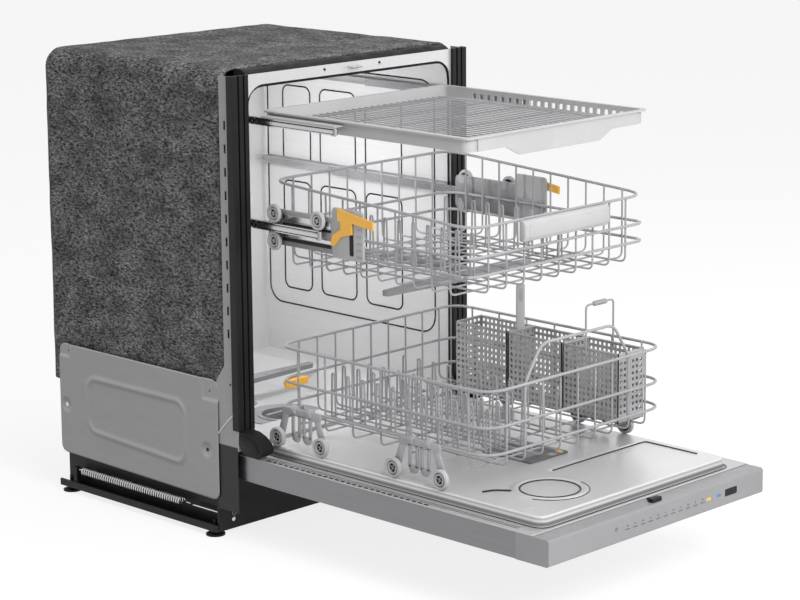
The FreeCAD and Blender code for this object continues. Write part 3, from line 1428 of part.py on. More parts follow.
def hinge_arms():
    """Steel arms inside the door's sides that turn on the bracket pins."""
    arm = Piece("hinge_arm", keep=False)
    low = "hinge_level - 2.5*pin_radius"
    high = "hinge_level + 2.5*pin_radius"
    section = [
        ("-(hinge_ahead + arm_reach)", low), ("door_tail/2", low), ("door_tail/2", high),
        ("-(hinge_ahead + arm_reach)", high),
    ]
    arm.pad("YZ", [section], "-arm_face", "arm_plate")
    arm.cut(
        "YZ", [circle("-hinge_ahead", "hinge_level", "pin_radius + pin_play")], "-arm_face", "arm_plate",
    )
    both_sides("hinge_arms", arm)


def dispenser():
    """A face plate over a moulded box, with a sliding lid over the cup and a twist cap for rinse aid."""
    body = Piece("dispenser_body")
    plate = rect("dose_left", "-dose_front", "dose_right", "-dose_rear")
    well = inset(plate, "dose_rim + play")
    body.pad("XY", [plate], "run_level", "dose_plate")
    body.pad("XY", [well], "run_level - dose_depth", "dose_depth")
    body.round("dose_rim/2", along("Z", lambda middle: middle.z > size("run_level")))
    cup_left = "dose_left + 2*dose_rim"
    cup_front = "-(dose_front - 3*dose_rim)"
    cup = rect(cup_left, cup_front, f"{cup_left} + dose_cup_wide", f"{cup_front} + dose_cup_long")
    body.cut("XY", [cup], "run_level + dose_plate - cup_depth", "cup_depth")
    lid = Piece("dispenser_lid")
    lid_loop = rect(
        f"{cup_left} - lid_lap", f"{cup_front} - lid_lap", f"{cup_left} + dose_cup_wide + lid_lap",
        f"{cup_front} + dose_cup_long + lid_lap",
    )
    lid.pad("XY", [lid_loop], "run_level + dose_plate + play", "dose_plate")
    lid.round("dose_rim/2", along("Z"))
    lid.pad(
        "XY",
        [rect(
            f"{cup_left} + lid_lap", f"{cup_front} + lid_lap", f"{cup_left} + 2*lid_lap",
            f"{cup_front} + dose_cup_long - lid_lap",
        )],
        "run_level + 2*dose_plate + play", "dose_plate/2",
    )
    cap = Piece("rinse_cap", keep=False)
    floor = "run_level + dose_plate + play"
    cap.turn(
        [("0", floor), ("cap_radius", floor), ("cap_radius", f"{floor} + dose_plate"), (
            "cap_radius - cap_bevel", f"{floor} + 1.5*dose_plate",
        ), ("0", f"{floor} + 1.5*dose_plate")]
    )
    rib = rect("-cap_rib_half", "-cap_rib_wide/2", "cap_rib_half", "cap_rib_wide/2")
    cap.pad("XY", [rib], f"{floor} + 1.5*dose_plate", "dose_plate")
    across = size("dose_right") - 2 * size("dose_rim") - size("cap_gap")
    ahead = size("dose_rear") + size("dose_rim") + size("cap_radius")
    copies("rinse_aid_cap", cap, [Vector(across, -ahead, 0)])


# Racks

LOW_CROSS_WIRES = 7
CROSS_WIRES = 10
LONG_WIRES = 9
TINES = 11
CUP_TINES = 9
GRID_LONG = 21
GRID_CROSS = 5
TRAY_SLOTS = 22
CUTLERY_SLOTS = 7
CUTLERY_MODULES = 3
CUTLERY_PITCH = f"(cutlery_module - 3*cutlery_slot)/{CUTLERY_SLOTS - 1}"


def rail_loop(half, front, rear, front_level, rear_level):
    """A closed rail round a rack. The level may fall from the rear to the front."""
    radius = size("rail_radius")
    side = half - radius
    ahead = -front + radius
    behind = -rear - radius
    corners = [
        (-side, ahead, front_level), (side, ahead, front_level),
        (side, behind, rear_level), (-side, behind, rear_level),
    ]
    return rod(corners, radius, size("rack_round"), closed=True)


def cross_wires(half, floor, top, places):
    """Wires that run down one side, across the floor and up the other side."""
    side = half - 2 * size("rail_radius") - size("wire_radius")
    wires = []
    for place in places:
        level = top(place)
        bends = [(-side, place, level), (-side, place, floor), (side, place, floor), (side, place, level)]
        wires += wire(bends, size("wire_radius"))
    return wires


def long_wires(front, rear, floor, front_top, rear_top, places):
    """Wires that run down the front, along the floor over the cross wires and up the rear."""
    ahead = -front + 2 * size("rail_radius") + size("wire_radius")
    behind = -rear - 2 * size("rail_radius") - size("wire_radius")
    level = floor + 2 * size("wire_radius")
    wires = []
    for place in places:
        bends = [
            (place, ahead, front_top), (place, ahead, level), (place, behind, level),
            (place, behind, rear_top),
        ]
        wires += wire(bends, size("wire_radius"))
    return wires


def tine_row(across, places, base):
    """A base wire along the rack with upright tines on it."""
    radius = size("wire_radius")
    first = places[0] - size("tine_pitch") / 2
    last = places[-1] + size("tine_pitch") / 2
    row = wire([(across, first, base), (across, last, base)], radius)
    for place in places:
        row += wire([(across, place, base + radius), (across, place, base + size("tine_tall"))], radius)
    return row


def low_cross_places():
    margin = size("rack_round") + 4 * size("rail_radius")
    return spread(-size("low_front") + margin, -size("low_rear") - margin, LOW_CROSS_WIRES)


def lower_basket():
    half = size("low_half")
    front = size("low_front")
    rear = size("low_rear")
    top = size("low_top")
    floor = size("low_floor")
    radius = size("rail_radius")
    solids = []
    for level in (top, size("low_middle"), size("low_bottom")):
        solids += rail_loop(half, front, rear, level, level)
    ahead = -front + 3 * radius
    reach = size("low_handle_half")
    handle = [
        (-reach - size("rack_round"), ahead, size("low_bottom")), (-reach - size("rack_round"), ahead, top),
        (-reach, ahead, size("low_handle")), (reach, ahead, size("low_handle")),
        (reach + size("rack_round"), ahead, top), (reach + size("rack_round"), ahead, size("low_bottom")),
    ]
    solids += rod(handle, radius, 4 * radius)
    margin = size("rack_round") + 4 * radius
    solids += cross_wires(half, floor, lambda place: top + radius, low_cross_places())
    solids += long_wires(
        front, rear, floor, top + radius, top + radius, spread(-half + margin, half - margin, LONG_WIRES),
    )
    gathered("lower_basket", solids)


def tine_places(shift):
    middle = -(size("low_front") + size("low_rear")) / 2
    return [middle + shift + (k - (TINES - 1) / 2) * size("tine_pitch") for k in range(TINES)]


def lower_tines():
    """Fixed rows of tines, one row that folds flat, and the clips on the floor and rear wires."""
    rows = []
    for across in (size("tine_first"), size("tine_second"), size("tine_third")):
        rows += tine_row(across, tine_places(0), size("low_floor") + 2 * size("wire_radius"))
    places = tine_places(size("tine_pitch") / 2)
    base = size("low_floor") + 3 * size("wire_radius") + size("play")
    rows += [fold_bearing(place, base) for place in (low_cross_places()[1], low_cross_places()[-2])]
    rows.append(rear_clip())
    gathered("lower_tines", rows)
    gathered("fold_tines", tine_row(size("tine_fold"), places, base))


def rear_clip():
    """The amber clip on the rear wires below the middle rail."""
    face = -size("low_rear") - 2 * size("rail_radius") - 2 * size("wire_radius")
    left = size("clip_left")
    under = size("low_middle") - size("rail_radius") - size("play")
    corner = Vector(left, face - size("clip_deep"), under - size("clip_drop"))
    return Part.makeBox(size("clip_right") - left, size("clip_deep"), size("clip_drop"), corner)


def fold_bearing(place, level):
    """A small clip round the base wire of the folding row."""
    half = 2 * size("wire_radius")
    floor = size("low_floor") + size("wire_radius")
    corner = Vector(size("tine_fold") - half, place - half, floor)
    block = Part.makeBox(2 * half, 2 * half, level + half - floor, corner)
    start = (size("tine_fold"), place - half, level)
    return block.cut(
        bar(start, (size("tine_fold"), place + half, level), size("wire_radius") + size("play"))
    )


def carrier_places():
    """Axles of the four lower wheels on each side, front to rear."""
    half = size("wheel_pitch") / 2
    return [
        -size("carrier_front") - half, -size("carrier_front") + half, -size("carrier_rear") - half,
        -size("carrier_rear") + half,
    ]


def wheel_level():
    return size("run_level") + size("play") + size("wheel_radius")


def wheel_carriers():
    """Moulded carriers clipped under the bottom rail, each with two scalloped skirts and two axle stubs."""
    carrier = Piece("wheel_carrier", keep=False)
    axle = "run_level + play + wheel_radius"
    half = "wheel_pitch/2"
    foot = "2*axle_radius"
    section = [
        (f"-({half}) - {foot}", f"{axle} - {foot}"), (f"-({half}) + {foot}", f"{axle} - {foot}"),
        (f"-({half})/2", f"{axle} + {foot}"), (f"({half})/2", f"{axle} + {foot}"),
        (f"{half} - {foot}", f"{axle} - {foot}"), (f"{half} + {foot}", f"{axle} - {foot}"),
        (f"{half} + {foot}", f"{axle} + {foot}"),
        (f"({half})/2 + {foot}", "low_bottom + 2*rail_radius"),
        (f"-({half})/2 - {foot}", "low_bottom + 2*rail_radius"),
        (f"-({half}) - {foot}", f"{axle} + {foot}"),
    ]
    face = "-(low_half + carrier_plate)"
    carrier.pad("YZ", [section], face, "carrier_plate")
    axles = [circle(f"-({half})", axle, "axle_radius"), circle(half, axle, "axle_radius")]
    carrier.pad(
        "YZ", axles, "-(wheel_gauge + wheel_wide/2)",
        "wheel_gauge + wheel_wide/2 - low_half - carrier_plate",
    )
    under = f"{axle} + {foot}"
    skirts = [circle("-skirt_place", under, "skirt_radius"), circle("skirt_place", under, "skirt_radius")]
    carrier.pad("YZ", skirts, face, "carrier_plate")
    slots = []
    for middle in ("-skirt_place", "skirt_place"):
        slots.append(
            rect(f"{middle} - skirt_slot", under, f"{middle} + skirt_slot", f"{under} + skirt_rise")
        )
    carrier.cut("YZ", slots, face, "carrier_plate")
    hook = [rect("-low_half", f"-({half})/2", "-(low_half - 2*rail_radius)", f"({half})/2")]
    carrier.pad("XY", hook, "low_bottom + rail_radius", "rail_radius")
    turned = FreeCAD.Rotation(Vector(0, 0, 1), 180)
    shapes = []
    for middle in (-size("carrier_front"), -size("carrier_rear")):
        for turn in (FreeCAD.Rotation(), turned):
            shape = carrier.body.Tip.Shape.copy()
            shape.Placement = FreeCAD.Placement(Vector(0, middle, 0), turn).multiply(shape.Placement)
            shapes.append(shape)
    gathered("wheel_carriers", shapes)


def wheel(label, radius, width, bore):
    """A turned wheel with a ring-shaped recess in its face."""
    piece = Piece(label, keep=False)
    hub = f"{bore} + wheel_hub"
    rim = f"{radius} - wheel_tyre"
    end = f"{width}/2"
    piece.turn([
        (bore, f"-({end})"), (radius, f"-({end})"), (radius, end), (rim, end), (rim, "0"), (hub, "0"),
        (hub, end), (bore, end),
    ])
    return piece


def wheel_pair(label, piece, gauge, place, level):
    """A node with the same wheel on both sides, each with its recess outwards."""
    pair = []
    for side in (-1, 1):
        shape = piece.body.Tip.Shape.copy()
        turn = FreeCAD.Rotation(Vector(0, 1, 0), side * 90)
        move = FreeCAD.Placement(Vector(side * gauge, place, level), turn)
        shape.Placement = move.multiply(shape.Placement)
        pair.append(shape)
    gathered(label, pair)


def lower_wheels():
    piece = wheel("lower_wheel", "wheel_radius", "wheel_wide", "axle_radius + play")
    for number, place in enumerate(carrier_places(), 1):
        wheel_pair(f"lower_wheels_{number}", piece, size("wheel_gauge"), place, wheel_level())


def cutlery_basket():
    """Three open modules with slotted walls, and a carrying post between two of them."""
    module = Piece("cutlery_module", keep=False)
    side_middle = (size("cutlery_left") + size("cutlery_right")) / 2
    side_half = (size("cutlery_right") - size("cutlery_left")) / 2
    floor = "low_floor + 3*wire_radius"
    loop = rect("cutlery_left", "-cutlery_module", "cutlery_right", "0")
    tall = f"cutlery_top - ({floor})"
    module.pad("XY", [loop], floor, tall)
    module.cut("XY", [inset(loop, "cutlery_wall")], f"{floor} + cutlery_wall", f"{tall} - cutlery_wall")
    module.round("2*cutlery_wall", along("Z", lambda middle: abs(middle.x - side_middle) > side_half - 0.1))
    first = "-cutlery_module + cutlery_slot"
    slot = [rect(
        first, f"{floor} + 2*cutlery_slot", f"{first} + cutlery_slot", "cutlery_top - 5*cutlery_slot",
    ),
            rect(
                first, "cutlery_top - 4*cutlery_slot", f"{first} + cutlery_slot",
                "cutlery_top - 2*cutlery_slot",
            )]
    module.cut("YZ", slot, "cutlery_left", "cutlery_right - cutlery_left")
    module.repeat("Y", CUTLERY_PITCH, CUTLERY_SLOTS)
    pivots = [
        circle(
            f"-cutlery_module/2 + ({CUTLERY_PITCH})/2", "cutlery_top - 2*bail_foot", "wire_radius + play",
        )
    ]
    module.cut("YZ", pivots, "cutlery_left", "cutlery_right - cutlery_left")
    pitch = size("cutlery_module") + size("cutlery_gap")
    wall = size("cutlery_wall")
    left = size("cutlery_left")
    right = size("cutlery_right")
    ahead = -size("cutlery_module")
    base = size("low_floor") + 3 * size("wire_radius")
    shelf = base + wall
    rim = size("cutlery_top")
    sides = [
        ((left, ahead, base), (right, 0, shelf)), ((left, ahead, shelf), (left + wall, 0, rim)),
        ((right - wall, ahead, shelf), (right, 0, rim)),
        ((left + wall, ahead, shelf), (right - wall, ahead + wall, rim)),
        ((left + wall, -wall, shelf), (right - wall, 0, rim)),
    ]
    shapes = []
    for number in range(CUTLERY_MODULES):
        for solid in parted(module.body.Tip.Shape, sides):
            solid.translate(Vector(0, -size("cutlery_rear") - number * pitch, 0))
            shapes.append(solid)
    gap = size("cutlery_gap")
    wide = size("post_wide")
    post_low = Vector(side_middle - wide / 2, -size("cutlery_rear") - pitch, base)
    post = Part.makeBox(wide, gap, rim + size("post_rise") - base, post_low)
    corners = [edge for edge in post.Edges if edge.CenterOfMass.z > rim and abs(edge.tangentAt(0).y) > 0.9]
    gathered("cutlery_basket", shapes + [post.makeFillet(size("post_round"), corners)])


def cutlery_bail():
    """The wire bail that swings on the front module."""
    middle = (size("cutlery_left") + size("cutlery_right")) / 2
    pitch = size("cutlery_module") + size("cutlery_gap")
    slot_pitch = (size("cutlery_module") - 3 * size("cutlery_slot")) / (CUTLERY_SLOTS - 1)
    last = size("cutlery_rear") + (CUTLERY_MODULES - 1) * pitch
    front = -last - size("cutlery_module") / 2 + slot_pitch / 2
    inside = (size("cutlery_right") - size("cutlery_left")) / 2 - size("cutlery_wall")
    reach = inside + size("cutlery_wall") + size("wire_radius") + size("play")
    foot = size("cutlery_top") - 2 * size("bail_foot")
    crown = size("cutlery_top") + size("bail_rise")
    bail = [
        (middle - inside, front, foot), (middle - reach, front, foot), (middle - reach, front, crown),
        (middle + reach, front, crown), (middle + reach, front, foot), (middle + inside, front, foot),
    ]
    gathered("cutlery_bail", wire(bail, size("wire_radius")))


def upper_level(place):
    """Height of the upper rack's sloping top rail at a place ahead of or behind the front plane."""
    share = (-place - size("up_rear")) / (size("up_front") - size("up_rear"))
    return size("up_top_rear") + (size("up_top_front") - size("up_top_rear")) * share


def upper_basket():
    half = size("up_half")
    front = size("up_front")
    rear = size("up_rear")
    floor = size("up_floor")
    radius = size("rail_radius")
    solids = rail_loop(half, front, rear, size("up_top_front"), size("up_top_rear"))
    for level in (size("up_middle"), size("up_lower")):
        solids += rail_loop(half, front, rear, level, level)
    margin = size("rack_round") + 4 * radius
    solids += cross_wires(half, floor, upper_level, spread(-front + margin, -rear - margin, CROSS_WIRES))
    spaces = spread(-half + margin, half - margin, LONG_WIRES)
    solids += long_wires(front, rear, floor, size("up_top_front"), size("up_top_rear"), spaces)
    for across in (-size("cup_row"), size("cup_row")):
        places = spread(-front + 2 * margin, -rear - 2 * margin, CUP_TINES)
        solids += tine_row(across, places, floor + 2 * size("wire_radius"))
    gathered("upper_basket", solids)


def upper_grip():
    grip = Piece("upper_grip")
    front = "-(up_front + grip_thick)"
    section = [
        ("-up_front", "up_top_front - grip_tall"), ("-up_front", "up_top_front"),
        (f"{front} + grip_thick/3", "up_top_front"),
        (front, "up_top_front - grip_thick/2"), (front, "up_top_front - grip_tall + grip_thick/2"),
        (f"{front} + grip_thick/3", "up_top_front - grip_tall"),
    ]
    grip.pad("YZ", [section], "-grip_half", "2*grip_half")


def height_adjusters():
    """Plates with rollers that run along the upper rail; the rack hangs on them at one of several heights."""
    plate = Piece("adjuster", keep=False)
    outer = "-(adjuster_face + adjuster_plate)"
    above = "slide_bottom + slide_tall + slide_gap + roller_radius"
    below = "slide_bottom - slide_gap - roller_radius"
    rear = "-(roller_rear - roller_radius)"
    section = [
        ("-adjuster_front", "adjuster_low"), ("-adjuster_rear", "adjuster_low"),
        ("-adjuster_rear", f"{below} - roller_radius/2"),
        (rear, f"{below} - roller_radius/2"), (rear, f"{above} + roller_radius/2"),
        ("-adjuster_rear", f"{above} + roller_radius/2"),
        ("-adjuster_rear", "adjuster_high"), ("-adjuster_front", "adjuster_high"),
    ]
    plate.pad("YZ", [section], outer, "adjuster_plate")
    axles = [circle(f"-{place}", level, "axle_radius") for place, level in
             (("roller_rear", above), ("(roller_rear + roller_pitch)", above), ("roller_rear", below))]
    length = "slide_outer - roller_wide/4 - (adjuster_face + adjuster_plate)"
    plate.pad("YZ", axles, f"{outer} - ({length})", length)
    both_sides("height_adjusters", plate)
    hanger = Piece("hanger", keep=False)
    block = rect(
        "-(adjuster_face - play)", "-(adjuster_front - hanger_inset)", "-up_half",
        "-(adjuster_rear + hanger_inset)",
    )
    hanger.pad("XY", [block], "up_lower - hanger_inset", "up_middle - up_lower + 2*hanger_inset")
    both_sides("rack_hangers", hanger)
    lever = Piece("lever", keep=False)
    grip_front = "-(adjuster_front + lever_reach)"
    rear = "adjuster_rear + lever_wide"
    step = "lever_low + lever_wide"
    bend = [
        (f"-({rear})", "lever_high"), (grip_front, "lever_high - lever_drop + lever_tip"),
        (grip_front, "lever_high - lever_drop"), (f"-({rear} + lever_stem)", "lever_high - lever_bar"),
        (f"-({rear} + lever_stem)", f"{step} + lever_neck/2"), (f"-({rear} + lever_back)", step),
        ("-(adjuster_rear + lever_wide/2)", "lever_low"), ("-adjuster_rear", "lever_low"),
        ("-(adjuster_rear + lever_wide/4)", step), (f"-({rear} + lever_back)", f"{step} + lever_neck"),
        (f"-({rear} + lever_back)", "lever_high - lever_bar"), (f"-({rear})", "lever_high - lever_bar"),
    ]
    lever.pad("YZ", [bend], f"{outer} - lever_gap - lever_plate", "lever_plate")
    both_sides("adjuster_levers", lever)


def upper_rollers():
    piece = wheel("upper_roller", "roller_radius", "roller_wide", "axle_radius + play")
    above = size("slide_bottom") + size("slide_tall") + size("slide_gap") + size("roller_radius")
    below = size("slide_bottom") - size("slide_gap") - size("roller_radius")
    middle = (size("slide_outer") + size("slide_inner")) / 2
    rear = size("roller_rear")
    front = rear + size("roller_pitch")
    for name, ahead, level in (("rear", rear, above), ("front", front, above), ("below", rear, below)):
        wheel_pair(f"upper_rollers_{name}", piece, middle, -ahead, level)


def upper_feed_tube():
    """The tube under the upper rack that brings water to the middle spray arm."""
    tube = Piece("upper_feed_tube")
    level = "up_floor - wire_radius - clip_tall - tube_radius"
    front = "-(middle_arm_ahead + hub_radius)"
    tube.pad("XZ", [circle("0", level, "tube_radius")], front, f"tube_rear - ({front})")
    neck = "middle_arm_level + arm_thick + play"
    tube.pad("XY", [circle("0", "-middle_arm_ahead", "hub_post")], neck, f"{level} - ({neck})")
    clip = rect("-tube_radius/2", "-middle_arm_ahead", "tube_radius/2", "-up_rear - 2*rack_round")
    tube.pad("XY", [clip], level, "tube_radius + clip_tall")


def third_rack():
    """A shallow rimmed tray with a slotted side, a deeper front and a wire floor, on runners."""
    tray = Piece("third_tray")
    ring = rect("-tray_half", "-tray_front", "tray_half", "-tray_rear")
    bottom = "tray_top - tray_deep"
    tray.pad("XY", [ring, inset(ring, "tray_wall")], bottom, "tray_deep")
    inside = size("tray_half") - size("tray_wall")
    tray.round("tray_round - tray_wall", along("Z", lambda middle: abs(abs(middle.x) - inside) < 0.1))
    tray.round("tray_round", along("Z", lambda middle: abs(middle.x) > size("tray_half") - 0.1))
    lip = rect(
        "-(tray_half + tray_lip)", "-(tray_front + tray_lip)", "tray_half + tray_lip",
        "-(tray_rear - tray_lip)",
    )
    tray.pad("XY", [lip, inset(ring, "tray_wall")], "tray_top - tray_wall", "tray_wall")
    edge = size("tray_half") + size("tray_lip") - 0.1
    tray.round("tray_round", along("Z", lambda middle: abs(middle.x) > edge))
    apron = [
        ("-apron_half", "tray_top"), ("-apron_half", bottom), ("-apron_step", bottom),
        ("-apron_deep", "tray_top - tray_apron"),
        ("apron_deep", "tray_top - tray_apron"), ("apron_step", bottom), ("apron_half", bottom),
        ("apron_half", "tray_top"),
    ]
    tray.pad("XZ", [apron], "-(tray_front + tray_wall)", "tray_wall")
    runner_floor = "third_rail_bottom + third_rail_tall + play"
    runner = rect(
        "-third_rail_front", runner_floor, "-tray_rear - tray_round", f"{runner_floor} + tray_wall",
    )
    for start in ("-slide_outer", "tray_half - tray_wall"):
        tray.pad("YZ", [runner], start, "slide_outer - tray_half + tray_wall")
    first = "-tray_front + 2*tray_round"
    slot = rect(first, f"{bottom} + 2*tray_wall", f"{first} + tray_slot", "tray_top - 3*tray_wall")
    tray.cut("YZ", [slot], "tray_half - tray_wall", "tray_wall")
    tray.repeat("Y", "2*tray_slot", TRAY_SLOTS)
    radius = size("grid_radius")
    level = size("tray_top") - size("tray_deep") + 3 * radius
    wall = size("tray_wall")
    front = -size("tray_front") + wall
    rear = -size("tray_rear") - wall
    margin = size("tray_round")
    grid = []
    for place in spread(-inside + margin, inside - margin, GRID_LONG):
        grid += wire([(place, front, level), (place, rear, level)], radius)
    for place in spread(front + margin, rear - margin, GRID_CROSS):
        grid += wire([(-inside, place, level - 2 * radius), (inside, place, level - 2 * radius)], radius)
    gathered("third_grid", grid)


def build():
    base_pan()
    levelling_feet()
    tub()
    insulation_blanket()
    edge_trims()
    front_posts()
    side_covers()
    cover_screws()
    top_seal_strip()
    door_gasket()
    corner_seals()
    hinge_brackets()
    latch_strike()
    door_springs()
    spring_links()
    sump()
    filters()
    pumps()
    water_connections()
    feed_duct()
    spray_post()
    spray_arm("lower_spray_arm", "lower_arm_reach", "lower_arm_level", "arm_place", jets=3)
    spray_arm("middle_spray_arm", "middle_arm_reach", "middle_arm_level", "-middle_arm_ahead", jets=3)
    spray_arm("top_spray_arm", "top_arm_reach", "top_arm_level", "arm_place", jets=2)
    rails_and_guides()
    door_outer_panel()
    door_liner()
    control_panel()
    hinge_arms()
    dispenser()
    lower_basket()
    lower_tines()
    wheel_carriers()
    lower_wheels()
    cutlery_basket()
    cutlery_bail()
    upper_basket()
    upper_grip()
    height_adjusters()
    upper_rollers()
    upper_feed_tube()
    third_rack()


def check_and_write():
    doc.recompute()
    for item in doc.Objects:
        faults = [word for word in item.State if word in ("Invalid", "Error")]
        assert not faults, f"{item.Label}: {faults}"
    for node in nodes:
        assert not node.Shape.isNull() and node.Shape.isValid(), f"{node.Label}: bad shape"
        assert all(solid.Volume > 0 for solid in node.Shape.Solids), f"{node.Label}: no volume"
    os.makedirs("parts", exist_ok=True)
    for node in nodes:
        node.Shape.exportStep(f"parts/{node.Label}.step")


build()
check_and_write()
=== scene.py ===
import json
import math

import bmesh
import bpy
from bpy.props import FloatProperty, FloatVectorProperty, IntProperty, PointerProperty
from bpy.types import Operator, Panel, PropertyGroup
from mathutils import Matrix, Vector
from mathutils.noise import noise as lump


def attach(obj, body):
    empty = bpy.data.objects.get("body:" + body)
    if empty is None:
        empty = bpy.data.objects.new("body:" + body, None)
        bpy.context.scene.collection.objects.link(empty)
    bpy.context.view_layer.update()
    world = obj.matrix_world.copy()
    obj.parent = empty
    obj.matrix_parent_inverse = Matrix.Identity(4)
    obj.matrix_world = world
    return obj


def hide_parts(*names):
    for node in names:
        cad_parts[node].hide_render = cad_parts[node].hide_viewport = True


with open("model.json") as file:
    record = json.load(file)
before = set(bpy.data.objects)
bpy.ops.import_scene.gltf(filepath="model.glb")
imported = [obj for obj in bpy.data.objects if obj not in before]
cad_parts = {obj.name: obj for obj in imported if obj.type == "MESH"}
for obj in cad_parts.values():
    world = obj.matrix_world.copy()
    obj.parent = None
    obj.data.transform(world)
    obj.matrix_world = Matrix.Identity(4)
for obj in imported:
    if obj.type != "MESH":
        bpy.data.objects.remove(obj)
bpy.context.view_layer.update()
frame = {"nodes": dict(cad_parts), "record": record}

bl_info = {
    "name": "Built-in dishwasher",
    "version": (1, 0, 0),
    "blender": (4, 5, 0),
    "location": "View3D > Sidebar > Dishwasher",
    "description": "Dresses the packed dishwasher with its racks, seals, felt and finishes",
    "category": "Object",
}

NODES = frame["nodes"]
SHIFT = 0.0825  # from the frame's origin to the front plane, in metres


def spot(x, y, z):
    """A point given in millimetres from the front plane, in the frame's metres."""
    return Vector((x / 1000, y / 1000 + SHIFT, z / 1000))


# Sizes and colours that a user would change

def colour_choice(name, about, red, green, blue):
    """A colour that a user can change."""
    return FloatVectorProperty(
        name=name, description=about, subtype="COLOR", size=4, default=(red, green, blue, 1)
    )


class FinishColours(PropertyGroup):
    """Colours of the finishes"""
    steel: colour_choice("Tub steel", "Stainless sheet of the tub and liner", 0.66, 0.66, 0.665)
    door: colour_choice("Door steel", "Brushed sheet of the door", 0.23, 0.23, 0.24)
    control: colour_choice("Control end", "Satin plastic at the door's tip", 0.24, 0.24, 0.25)
    zinc: colour_choice("Zinc steel", "Posts, covers and brackets", 0.27, 0.27, 0.275)
    black: colour_choice("Black moulding", "Base, trims and feet", 0.012, 0.012, 0.013)
    wire: colour_choice("Nylon wire", "Coated wires of the racks", 0.30, 0.30, 0.31)
    pale: colour_choice("Pale plastic", "Tray, grip and dispenser", 0.40, 0.40, 0.405)
    grey: colour_choice("Grey plastic", "Carriers, adjusters and wheels", 0.33, 0.33, 0.34)
    basket: colour_choice("Cutlery basket", "Grey plastic of the cutlery basket", 0.34, 0.34, 0.345)
    tyre: colour_choice("Wheel tyre", "Outer ring of the wheels", 0.40, 0.40, 0.41)
    amber: colour_choice("Amber plastic", "Levers and clip", 0.80, 0.42, 0.06)
    felt: colour_choice("Felt", "Ground colour of the insulation", 0.011, 0.011, 0.012)
    fleck: colour_choice("Felt flecks", "Light fibres in the insulation", 0.46, 0.46, 0.465)


class RackSizes(PropertyGroup):
    """Sizes of the wires and springs"""
    spring_turns: IntProperty(
        name="Spring turns", description="Turns in each door spring", default=45, min=5, max=90
    )
    rail_wire: FloatProperty(
        name="Rail wire", description="Radius of a rack's rails in mm", default=2.6, min=1, max=4
    )
    thin_wire: FloatProperty(
        name="Thin wire", description="Radius of a rack's cross wires and tines in mm", default=1.8, min=1,
        max=3
    )


class StageSizes(PropertyGroup):
    """Sizes of the floor and the camera"""
    lens: FloatProperty(name="Lens", description="Focal length of the camera", unit="CAMERA", default=114.1)
    floor: FloatProperty(name="Floor", description="Half width of the floor", unit="LENGTH", default=9.0)


# Finishes

def tree_of(name):
    """A new material with its tree and its shader."""
    material = bpy.data.materials.new(name)
    material.use_nodes = True
    return material, material.node_tree, material.node_tree.nodes["Principled BSDF"]


def fill(tree, node, **values):
    """Sets a node's inputs and settings by name; an output given as a value is linked to its input."""
    for key, value in values.items():
        label = key.replace("_", " ")
        if isinstance(value, bpy.types.NodeSocket):
            tree.links.new(value, node.inputs[label])
        elif label in node.inputs:
            node.inputs[label].default_value = value
        else:
            setattr(node, key, value)
    return node


def feature(tree, kind, **values):
    """A new node, filled in."""
    return fill(tree, tree.nodes.new(kind), **values)


def object_space(tree, scale=(1, 1, 1), turn=(0, 0, 0)):
    """Object coordinates, scaled and turned."""
    where = tree.nodes.new("ShaderNodeTexCoord").outputs["Object"]
    return feature(tree, "ShaderNodeMapping", Vector=where, Scale=scale, Rotation=turn).outputs["Vector"]


def noise(tree, vector, scale, detail=3.0, rough=0.55):
    """A noise value between nought and one."""
    node = feature(tree, "ShaderNodeTexNoise", Vector=vector, Scale=scale, Detail=detail, Roughness=rough)
    return node.outputs["Fac"]


def span(tree, value, low, high, start=0.35, end=0.65):
    """A value brought from one range to another."""
    node = feature(
        tree, "ShaderNodeMapRange", Value=value, From_Min=start, From_Max=end, To_Min=low, To_Max=high
    )
    return node.outputs["Result"]


def worked_out(tree, kind, first, second):
    """The sum, product or greater of two values."""
    node = feature(tree, "ShaderNodeMath", operation=kind)
    tree.links.new(first, node.inputs[0])
    tree.links.new(second, node.inputs[1])
    return node.outputs[0]


def blend_colours(tree, value, first, second):
    """A colour between two, by a value."""
    node = feature(tree, "ShaderNodeMix", data_type="RGBA")
    tree.links.new(value, node.inputs[0])
    node.inputs[6].default_value = first
    node.inputs[7].default_value = second
    return node.outputs[2]


def two_tones(tree, value, colour, contrast):
    """A colour that goes from a darker to a lighter tone where a noise value rises."""
    return blend_colours(
        tree, span(tree, value, 0, 1), shade(colour, 1 - contrast), shade(colour, 1 + contrast)
    )


def shade(colour, by):
    """A colour made lighter or darker."""
    return (colour[0] * by, colour[1] * by, colour[2] * by, 1)


def add_bump(tree, shader, height, strength, distance):
    """Roughens the shader's surface by a height value."""
    bump = feature(tree, "ShaderNodeBump", Height=height, Strength=strength, Distance=distance)
    fill(tree, shader, Normal=bump.outputs["Normal"])


def moulded(name, colour, roughness=0.42, grain=900.0, depth=0.12, contrast=0.10, gloss=0.5):
    """Moulded plastic: a fine spark-eroded grain and slow changes of tone and gloss."""
    material, tree, shader = tree_of(name)
    space = object_space(tree)
    fill(
        tree, shader, Base_Color=two_tones(tree, noise(tree, space, 9.0, 4.0), colour, contrast),
        Specular_IOR_Level=gloss
    )
    fill(tree, shader, Roughness=span(tree, noise(tree, space, 40.0), roughness - 0.06, roughness + 0.08))
    add_bump(tree, shader, noise(tree, space, grain, 2.0), depth, 0.0004)
    return material


